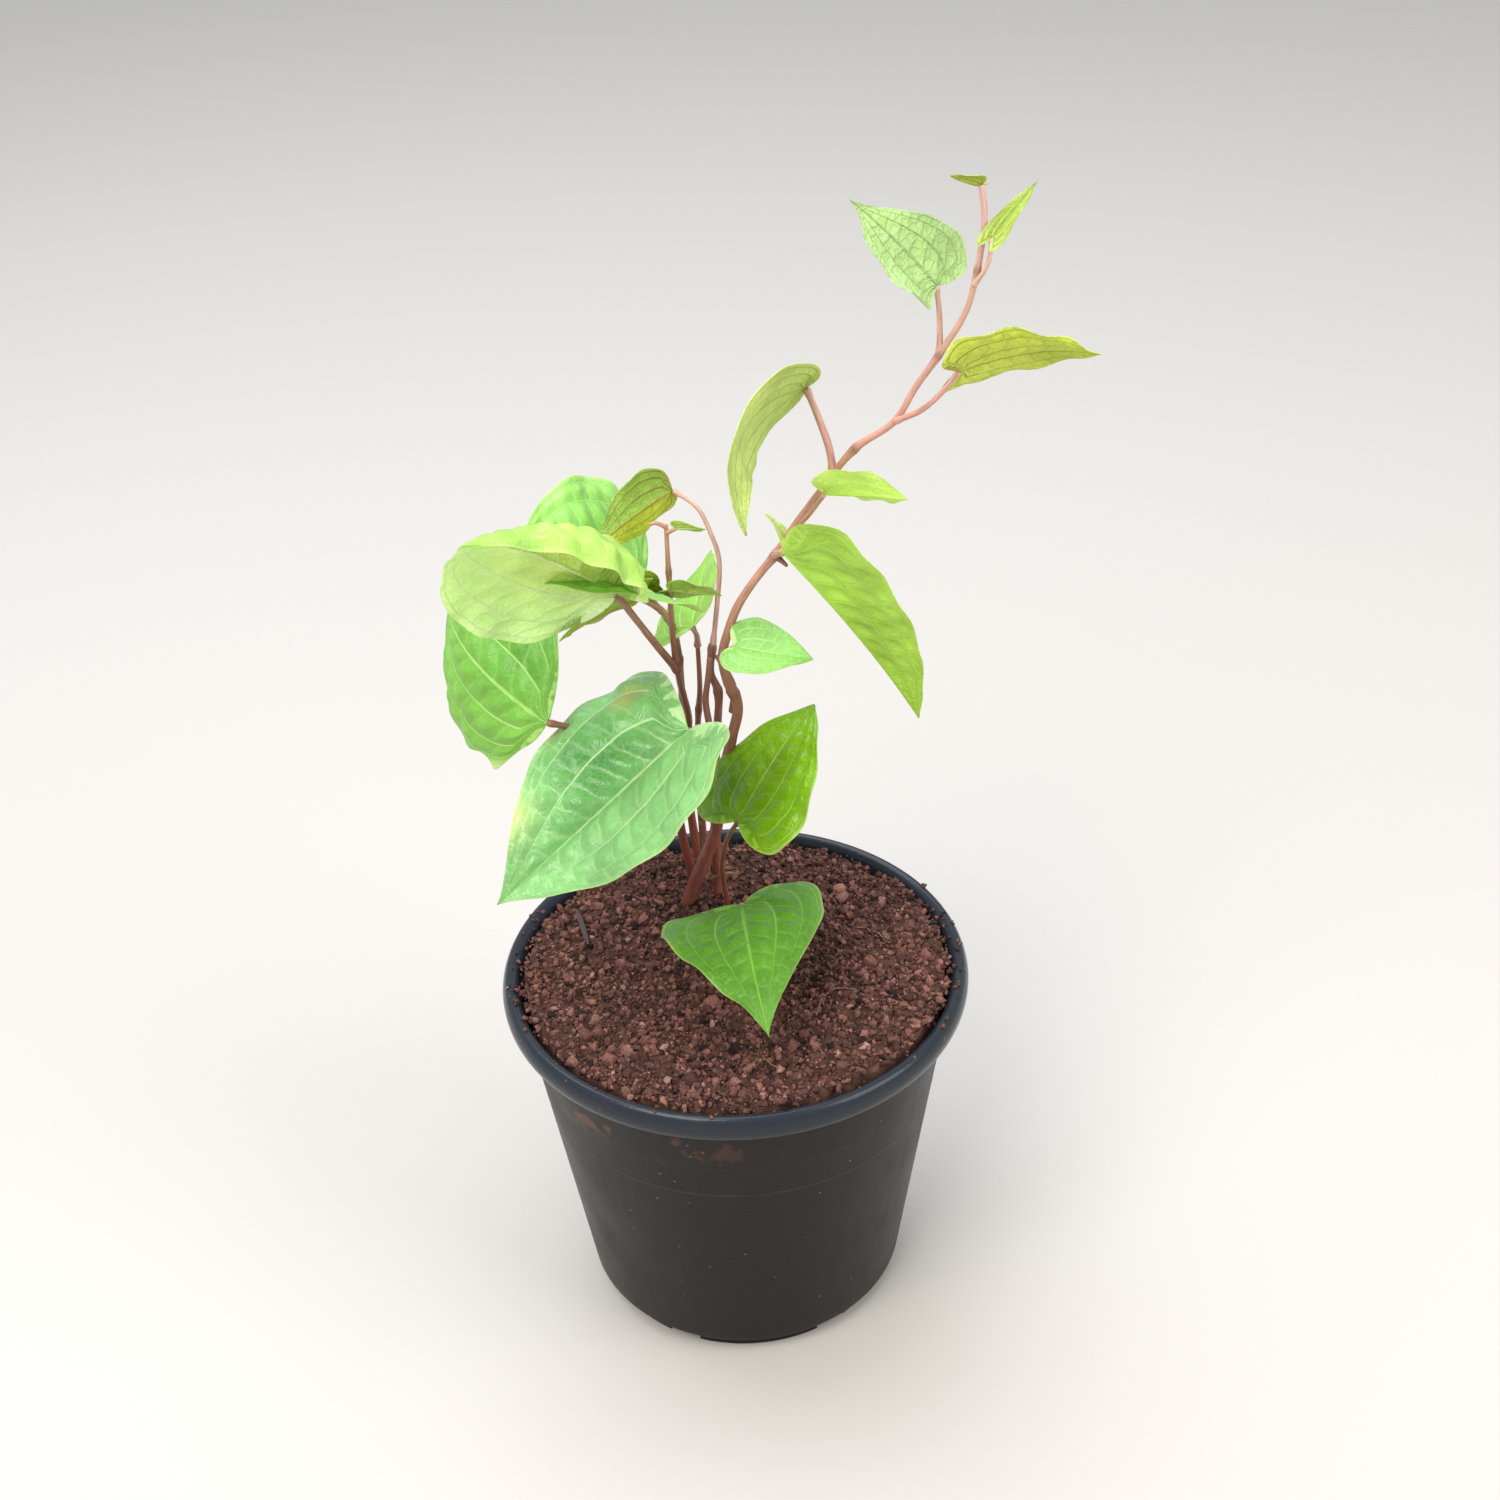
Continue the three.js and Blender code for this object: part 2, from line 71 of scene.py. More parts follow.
# a colour or field moved part of the way to another: start + (end - start) * share
def blend(start, end, share):
    start, end = (np.array(linear(c)) if isinstance(c, str) else c for c in (start, end))
    return start + (end - start) * share


# sets each input of a node to a value, or links it to a socket or to another node's first output
def feed(tree, node, inputs):
    for key, value in inputs.items():
        source = value.outputs[0] if isinstance(value, bpy.types.Node) else value
        if isinstance(source, bpy.types.NodeSocket):
            tree.links.new(source, node.inputs[key])
        else:
            node.inputs[key].default_value = source


# adds one shader node with its settings and inputs. A number names a socket by its place: 0, 1 and 2 are
# the terms of Math; 0, 6 and 7 the share and the two colours of Mix; 0 to 4 the value, the range it
# comes from and the range it goes to of MapRange
def addNode(tree, kind, inputs=None, **settings):
    node = tree.nodes.new("ShaderNode" + kind)
    for key, value in settings.items():
        setattr(node, key, value)
    feed(tree, node, inputs or {})
    return node


# a material with one principled shader
def newMaterial(name):
    material = bpy.data.materials.new(name)
    material.use_nodes = True
    tree = material.node_tree
    tree.nodes.clear()
    shader = addNode(tree, "BsdfPrincipled")
    addNode(tree, "OutputMaterial", {"Surface": shader})
    return material, tree, shader


camera = {
    "lens": 52.8,            # mm, on a 36 mm sensor
    "elevation": 33.64,      # degrees above the horizon
    "roll": -2.09,
    "target": (7.32, 0.0, 206.09),
    "distance": 663.45,
}


# the camera stands at target + distance * back, where back rises by elevation from the front, and its
# right and up are turned by roll about back
def addCamera(c):
    e, r = np.radians(c["elevation"]), np.radians(c["roll"])
    back = np.array([0, -np.cos(e), np.sin(e)])
    right = np.array([1.0, 0, 0])
    up = np.cross(back, right)
    tiltedRight = np.cos(r) * right + np.sin(r) * up
    tiltedUp = -np.sin(r) * right + np.cos(r) * up
    place = (np.array(c["target"]) + c["distance"] * back) / 1000 + potAxis
    data = bpy.data.cameras.new("studioCamera")
    data.lens, data.sensor_width, data.clip_start = c["lens"], 36, 0.01
    obj = bpy.data.objects.new("studioCamera", data)
    bpy.context.scene.collection.objects.link(obj)
    matrix = np.eye(4)
    matrix[:3, 0], matrix[:3, 1], matrix[:3, 2], matrix[:3, 3] = tiltedRight, tiltedUp, back, place
    obj.matrix_world = Matrix(matrix.tolist())
    bpy.context.scene.camera = obj


addCamera(camera)
print("camera set")


# writes one value per mesh point, which a material reads by its name
def setPoints(mesh, key, kind, part, values):
    mesh.attributes.new(key, kind, "POINT").data.foreach_set(part, values.ravel().astype(np.float32))


# a closed skin over rings[i, j]: quads between neighbouring rings, joined round j, and a fan to a
# point at each end
def ringMesh(name, rings, ends, material, pointData=None, colourData=None, uv=None, sharp=50):
    count, around = rings.shape[:2]
    points = np.concatenate([rings.reshape(-1, 3), np.array(ends)]) / 1000 + potAxis
    i, j = np.meshgrid(np.arange(count - 1), np.arange(around), indexing="ij")
    k = (j + 1) % around
    quads = np.stack([i * around + j, i * around + k, (i + 1) * around + k, (i + 1) * around + j], -1)
    quads = quads.reshape(-1, 4)
    j = np.arange(around)
    k = (j + 1) % around
    first = np.stack([k, j, np.full(around, count * around)], -1)
    final = (count - 1) * around
    last = np.stack([final + j, final + k, np.full(around, count * around + 1)], -1)
    # the sum of the faces' signed volumes says which way round the skin is
    a, b, c, d = (points[quads[:, n]] for n in range(4))
    volume = np.einsum("ij,ij->i", a, np.cross(b, c)).sum() + np.einsum("ij,ij->i", a, np.cross(c, d)).sum()
    if volume < 0:
        quads, first, last = quads[:, ::-1], first[:, ::-1], last[:, ::-1]
    mesh = bpy.data.meshes.new(name)
    mesh.from_pydata(points.tolist(), [], quads.tolist() + first.tolist() + last.tolist())

    # the two end points take the mean of the first and of the last ring
    def extend(field):
        flat = field.reshape(count, around, -1)
        return np.concatenate([flat.reshape(count * around, -1), flat[0].mean(0)[None], flat[-1].mean(0)[None]])

    for key, field in (pointData or {}).items():
        setPoints(mesh, key, "FLOAT", "value", extend(field))
    for key, field in (colourData or {}).items():
        setPoints(mesh, key, "FLOAT_COLOR", "color", extend(field))
    if uv is not None:
        corners = np.empty(len(mesh.loops), dtype=np.int32)
        mesh.loops.foreach_get("vertex_index", corners)
        layer = mesh.uv_layers.new(name="surfaceMap")
        layer.data.foreach_set("uv", extend(uv)[corners].ravel().astype(np.float32))
    return finishMesh(name, mesh, material, sharp)


# smooth shading, apart from edges that turn by more than sharp degrees
def finishMesh(name, mesh, material, sharp):
    mesh.polygons.foreach_set("use_smooth", [True] * len(mesh.polygons))
    mesh.set_sharp_from_angle(angle=np.radians(sharp))
    mesh.materials.append(material)
    mesh.update()
    obj = bpy.data.objects.new(name, mesh)
    bpy.context.scene.collection.objects.link(obj)
    return obj


# the CAD node a piece stands for: bladeLeftLower is leaf_left_lower, vineMain is vine_main
def cadNode(name):
    letters = name.replace("blade", "leaf")
    return "".join("_" + letter.lower() if letter.isupper() else letter for letter in letters)


# hangs a piece on the root body, hides the CAD nodes it stands for and lists it; the slot is not used
def declare(obj, slot, *nodes):
    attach(obj, "root")
    if nodes:
        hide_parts(*nodes)
    finishedPieces.append(obj)


# smooth noise from -1 to 1: random heights on a square lattice of that cell size, blended between
# four corners by f * f * (3 - 2f)
def latticeNoise(x, y, cell, seed):
    table = np.random.default_rng(seed).random((256, 256)) * 2 - 1
    gx, gy = x / cell, y / cell
    ix, iy = np.floor(gx).astype(int), np.floor(gy).astype(int)
    fx, fy = gx - ix, gy - iy
    fx, fy = fx * fx * (3 - 2 * fx), fy * fy * (3 - 2 * fy)
    corner = lambda p, q: table[(ix + p) % 256, (iy + q) % 256]
    low = corner(0, 0) * (1 - fx) + corner(1, 0) * fx
    high = corner(0, 1) * (1 - fx) + corner(1, 1) * fx
    return low * (1 - fy) + high * fy


leafLook = {
    "thickness": 0.45,
    # where the midrib, the side veins and a line past the margin lie, as parts of the half width
    "lanes": (0.0, 0.36, 0.7, 0.92, 1.12),
    "laneStrength": ((0, 0.5, 1, 3, 3.4, 4), (1.3, 1.1, 0.8, 0.55, 0.05, 0.02)),   # lanes and vein widths
    "rungGap": 8.5,                           # mm between cross veins
    "veinHalf": 0.52,                         # mm, half of the midrib's width at its base
    "veinShare": 0.64,                        # how much of the vein colour shows on main veins
    "rungShare": 0.13,                        # and on cross veins
    "netting": 0.09,                          # and on the finest net
    "quilt": 1.6,                             # scales every blade's cushions
}


# Living betel leaf: thin, waxy above and duller below. The pale veins sink in above and stand
# proud below.
def makeLeafMaterial():
    material, tree, shader = newMaterial("waxyBetelLeaf")
    field = {key: addNode(tree, "Attribute", attribute_name=key).outputs["Fac"] for key in
             ("lane", "laneWidth", "veinHalf", "rung", "rungWidth", "under", "dull", "netting")}
    tint, veinTint = (addNode(tree, "Attribute", attribute_name=key) for key in ("tint", "veinTint"))
    uv = addNode(tree, "UVMap", uv_map="surfaceMap")
    coarse = addNode(tree, "TexNoise", {"Vector": uv, "Scale": 1 / 0.014, "Detail": 2})   # 14 mm mottling
    # veins wander over 6 mm
    wander = addNode(tree, "TexNoise", {"Vector": uv, "Scale": 1 / 0.006, "Detail": 1})
    offset = addNode(tree, "Math", {0: wander, 1: -0.5}, operation="ADD")
    bent = addNode(tree, "Math", {0: offset, 1: 0.05, 2: field["lane"]}, operation="MULTIPLY_ADD")
    # main veins lie where lane is a whole number
    near = addNode(tree, "Math", {0: bent, 1: 0.5}, operation="PINGPONG")
    away = addNode(tree, "Math", {0: near, 1: field["laneWidth"]}, operation="MULTIPLY")
    ratio = addNode(tree, "Math", {0: away, 1: field["veinHalf"]}, operation="DIVIDE")
    vein = addNode(tree, "MapRange", {0: ratio, 1: 0.45, 2: 1.7, 3: 1, 4: 0}, interpolation_type="SMOOTHSTEP")
    # cross veins lie where rung is a whole number
    bentRung = addNode(tree, "Math", {0: offset, 1: 0.5, 2: field["rung"]}, operation="MULTIPLY_ADD")
    nearRung = addNode(tree, "Math", {0: bentRung, 1: 0.5}, operation="PINGPONG")
    awayRung = addNode(tree, "Math", {0: nearRung, 1: field["rungWidth"]}, operation="MULTIPLY")
    rung = addNode(tree, "MapRange", {0: awayRung, 1: 0.12, 2: 0.75, 3: 1, 4: 0},
        interpolation_type="SMOOTHSTEP")
    # the finest veins close into cells about 2.4 mm across
    cells = addNode(tree, "TexVoronoi", {"Vector": uv, "Scale": 1 / 0.0024}, feature="DISTANCE_TO_EDGE")
    net = addNode(tree, "MapRange", {0: cells, 1: 0.0, 2: 0.16, 3: 1, 4: 0})
    # colour: mottled tint, then the three orders of veins
    tone = addNode(tree, "MapRange", {0: coarse, 1: 0.3, 2: 0.7, 3: 0.8, 4: 1.14})
    mottled = addNode(tree, "HueSaturation", {"Color": tint, "Value": tone})
    netShare = addNode(tree, "Math", {0: net, 1: field["netting"]}, operation="MULTIPLY")
    withNet = addNode(tree, "Mix", {0: netShare, 6: mottled, 7: veinTint}, data_type="RGBA")
    rungShare = addNode(tree, "Math", {0: rung, 1: leafLook["rungShare"]}, operation="MULTIPLY")
    withRungs = addNode(tree, "Mix", {0: rungShare, 6: withNet.outputs[2], 7: veinTint}, data_type="RGBA")
    veinShare = addNode(tree, "Math", {0: vein, 1: leafLook["veinShare"]}, operation="MULTIPLY")
    withVeins = addNode(tree, "Mix", {0: veinShare, 6: withRungs.outputs[2], 7: veinTint}, data_type="RGBA")
    # sparse brown specks, about 1 mm across, one in a few 9 mm cells
    specks = addNode(tree, "TexVoronoi", {"Vector": uv, "Scale": 1 / 0.009})
    chosen = addNode(tree, "SeparateColor", {"Color": specks.outputs["Color"]})
    rare = addNode(tree, "Math", {0: chosen, 1: 0.8}, operation="GREATER_THAN")
    dot = addNode(tree, "MapRange", {0: specks, 1: 0.03, 2: 0.075, 3: 0.75, 4: 0})
    speck = addNode(tree, "Math", {0: rare, 1: dot}, operation="MULTIPLY")
    colour = addNode(tree, "Mix", {0: speck, 6: withVeins.outputs[2], 7: linear("#6d5224")}, data_type="RGBA")
    # relief: veins sink above and rise below, with a fine grain
    grain = addNode(tree, "TexNoise", {"Vector": uv, "Scale": 1 / 0.0009, "Detail": 2})
    rungDepth = addNode(tree, "Math", {0: rung, 1: 0.6, 2: vein}, operation="MULTIPLY_ADD")
    netDepth = addNode(tree, "Math", {0: net, 1: 0.45, 2: rungDepth}, operation="MULTIPLY_ADD")
    flip = addNode(tree, "MapRange", {0: field["under"], 3: -0.45, 4: 1.3})
    relief = addNode(tree, "Math", {0: netDepth, 1: flip}, operation="MULTIPLY")
    height = addNode(tree, "Math", {0: grain, 1: 0.12, 2: relief}, operation="MULTIPLY_ADD")
    bump = addNode(tree, "Bump", {"Height": height, "Strength": 0.8, "Distance": 0.0004})
    rough = addNode(tree, "Math", {0: vein, 1: 0.08, 2: field["dull"]}, operation="MULTIPLY_ADD")
    feed(tree, shader, {
        "Base Color": colour.outputs[2], "Roughness": rough, "Normal": bump,
        "IOR": 1.43,                  # leaf wax
        "Subsurface Weight": 0.2,     # light comes through the thin blade
        "Subsurface Radius": (1.0, 1.0, 0.5), "Subsurface Scale": 0.0018,
    })
    return material


leafMaterial = makeLeafMaterial()


# outline of a blade: half width at u as a part of the widest, u^0.6 * (1 - u)^taper over its peak
def outline(u, taper):
    peakAt = 0.6 / (0.6 + taper)
    return u ** 0.6 * (1 - u) ** taper / (peakAt ** 0.6 * (1 - peakAt) ** taper)


# the blade's middle surface: u runs from petiole to tip and v across. The halves leave the midrib at
# their fold angle and bend on; a rolled half turns by its full bend at every u. The lobes reach back
# by lobe * |v|^1.6 * sqrt(u) * (1 - u)^2, and the midrib turns by curl * w^1.4 at w along it.
def bladeSurface(s, u, v):
    a, side = np.abs(v), np.where(v >= 0, 1.0, -1.0)
    left = v >= 0
    lobe = np.where(left, s["lobe"][0], s["lobe"][1])
    t = u - a ** 1.6 * lobe * np.sqrt(u) * (1 - u) ** 2
    spread = a * outline(u, s["taper"])
    half = s["width"] / 2
    fold = np.radians(np.where(left, s["fold"][0], s["fold"][1]))
    bend = np.radians(np.where(left, s["bend"][0], s["bend"][1]))
    bend = np.where(np.abs(bend) < 1e-4, 1e-4, bend)
    rolled = left & s.get("rolledLeft", False)
    reach = np.where(rolled, np.maximum(spread / np.maximum(a, 1e-6), 1e-3), 1.0)
    y = side * half * reach * (np.sin(fold + bend * spread / reach) - np.sin(fold)) / bend
    z = -half * reach * (np.cos(fold + bend * spread / reach) - np.cos(fold)) / bend
    twist = np.radians(s["twist"]) * t
    y, z = y * np.cos(twist) - z * np.sin(twist), y * np.sin(twist) + z * np.cos(twist)
    w = np.linspace(-0.6, 1.05, 400)
    turn = -np.radians(s["curl"]) * np.sign(w) * np.abs(w) ** 1.4
    run = np.concatenate([[0], np.cumsum(np.diff(w) * np.cos((turn[1:] + turn[:-1]) / 2))])
    rise = np.concatenate([[0], np.cumsum(np.diff(w) * np.sin((turn[1:] + turn[:-1]) / 2))])
    run, rise = run - np.interp(0, w, run), rise - np.interp(0, w, rise)
    angle = np.interp(t, w, turn)
    x = s["length"] * np.interp(t, w, run) - np.sin(angle) * z
    height = s["length"] * np.interp(t, w, rise) + np.cos(angle) * z
    return np.stack([x, y + 0 * t, height], -1), t, spread * half


# rotation by so many degrees about one axis
def turnMatrix(axis, degrees):
    return np.array(Matrix.Rotation(np.radians(degrees), 3, axis))


# a blade: its middle surface moved half the thickness along the normal to each side, with ribs below
def makeLeaf(name, s):
    big = s["length"] > 30
    rows, columns = (130, 91) if big else (64, 45)
    u = (np.linspace(0, 1, rows + 2)[1:-1, None]) ** 1.25
    v = np.linspace(-1, 1, columns)[None, :]
    # bites and ragged stretches of the margin: each draws the edge in by depth at u, over that width
    reach = np.ones((rows, columns))
    for at, edge, depth, width in s.get("nicks", ()):
        reach -= depth * np.exp(-((u - at) / width) ** 2) * (v * edge > 0)
    middle, t, across = bladeSurface(s, u, v * reach)
    # lane counts the main veins outwards from the midrib; inner ones leave it a little above the base
    a = np.abs(v * reach)
    emerge = np.clip(u / 0.10, 0.35, 1)
    lane = np.interp(a / emerge, leafLook["lanes"], np.arange(5.0))
    laneGaps = np.gradient(np.array(leafLook["lanes"]))
    laneWidth = np.interp(lane, np.arange(5.0), laneGaps) * s["width"] / 2 * outline(u, s["taper"]) + 0.05
    size = np.clip(s["length"] / 75, 0.32, 1)
    veinHalf = leafLook["veinHalf"] * size ** 0.6 * (1 - 0.72 * u) * np.interp(lane, *leafLook["laneStrength"])
    veinHalf = veinHalf * np.where(lane > 0.5, np.clip(1.5 - 1.3 * u, 0.3, 1), 1)   # side veins thin out sooner
    gap = leafLook["rungGap"] * size ** 0.6
    panel = np.floor(lane)
    rung = (t * s["length"] - 0.55 * across * (1 - 0.35 * a)) / gap
    rung = rung + 0.41 * panel + np.where(v > 0, 0.47, 0) + s["seed"] * 0.31   # no two panels line up
    veinAway = np.abs(lane - np.round(lane)) * laneWidth
    rungAway = np.abs(rung - np.round(rung)) * gap * 0.8
    # cushions swell between the veins, and the margin ripples
    offVeins = (1 - np.exp(-(veinAway / 2.6) ** 2)) * (1 - 0.8 * np.exp(-(rungAway / 1.9) ** 2))
    quilt = leafLook["quilt"] * s.get("quilt", 0.45) * offVeins * np.clip((1 - a) * 9, 0, 1)
    ripple = np.where(v > 0, *s.get("ripple", (0.5, 0.5)))
    wave = ripple * a ** 4 * np.sin(2 * np.pi * u * s["length"] / (15 * size ** 0.5) + s["seed"])
    wave = wave * np.clip((1 - u) * 6, 0, 1)
    swell = latticeNoise(t * s["length"] + 40, across * np.sign(v) + 40, 17 * size, s["seed"]) * 0.7 * size
    swell = swell * np.clip(u * 5, 0, 1) * np.clip(across / 6, 0, 1)
    du, dv = np.gradient(middle, axis=0), np.gradient(middle, axis=1)
    normal = np.cross(du, dv)
    normal /= np.linalg.norm(normal, axis=2, keepdims=True) + 1e-12
    lift = (quilt + wave + swell)[..., None] * normal
    thick = leafLook["thickness"] * (1 - 0.6 * a ** 8) * np.clip(size + 0.25, 0, 1)
    ridge = 0.55 * veinHalf * np.exp(-(veinAway / (veinHalf * 0.9 + 0.05)) ** 2) * (lane < 3.4)
    upper = middle + lift + normal * (thick / 2)[..., None]
    lower = middle + lift - normal * (thick / 2 + ridge)[..., None]
    rings = np.concatenate([upper, lower[:, ::-1]], 1)
    ends = [rings[0].mean(0) * 0.3, 1.5 * rings[-1].mean(0) - 0.5 * rings[-2].mean(0)]
    place = turnMatrix("Z", s["heading"]) @ turnMatrix("Y", -s["pitch"]) @ turnMatrix("X", s["roll"])
    rings = rings @ place.T + np.array(s["base"])
    ends = [e @ place.T + np.array(s["base"]) for e in ends]
    # a field of the blade, laid on its upper and then on its lower skin
    flat = np.zeros((rows, columns))
    both = lambda f: np.concatenate([f + flat, (f + flat)[:, ::-1]], 1)
    under = np.concatenate([flat, flat + 1], 1)
    under = 1 - under if s.get("flipped") else under
    # tint: top or underside colour, patches where given (some the blade's own yellower or browner blotches,
    # some painted shade or painted light), and a paler margin
    tint = blend(s["top"], s["below"], under[..., None])
    for sign, hexColour in s.get("halfTint", ()):
        tint = np.where((both(v + 0 * u) * sign > 0)[..., None], np.array(linear(hexColour)), tint)
    for at, over, radius, hexColour, amount in s.get("patches", ()):
        offset = (both(across * np.sign(v)) / s["width"] * 2 - over) * 0.6
        share = amount * np.exp(-((both(t) - at) ** 2 + offset ** 2) / radius ** 2)
        tint = blend(tint, hexColour, share[..., None])
    edge = both(np.clip((a - 0.95) / 0.05, 0, 1)) * 0.35
    tint = blend(tint, "#c9d982", edge[..., None])
    veinTint = blend(*s["veins"], under[..., None])
    uv = np.stack([both(t * s["length"]) / 1000 + s["seed"], both(across * np.sign(v)) / 1000], -1)
    data = {
        "lane": both(lane), "laneWidth": both(laneWidth), "veinHalf": both(veinHalf), "rung": both(rung),
        "rungWidth": both(gap * 0.8), "under": under, "dull": s.get("dull", 0.42) + 0.2 * under,
        "netting": both(leafLook["netting"]),
    }
    obj = ringMesh(name, rings, ends, leafMaterial, data, {"tint": tint, "veinTint": veinTint}, uv, 60)
    declare(obj, s["slot"], cadNode(name))


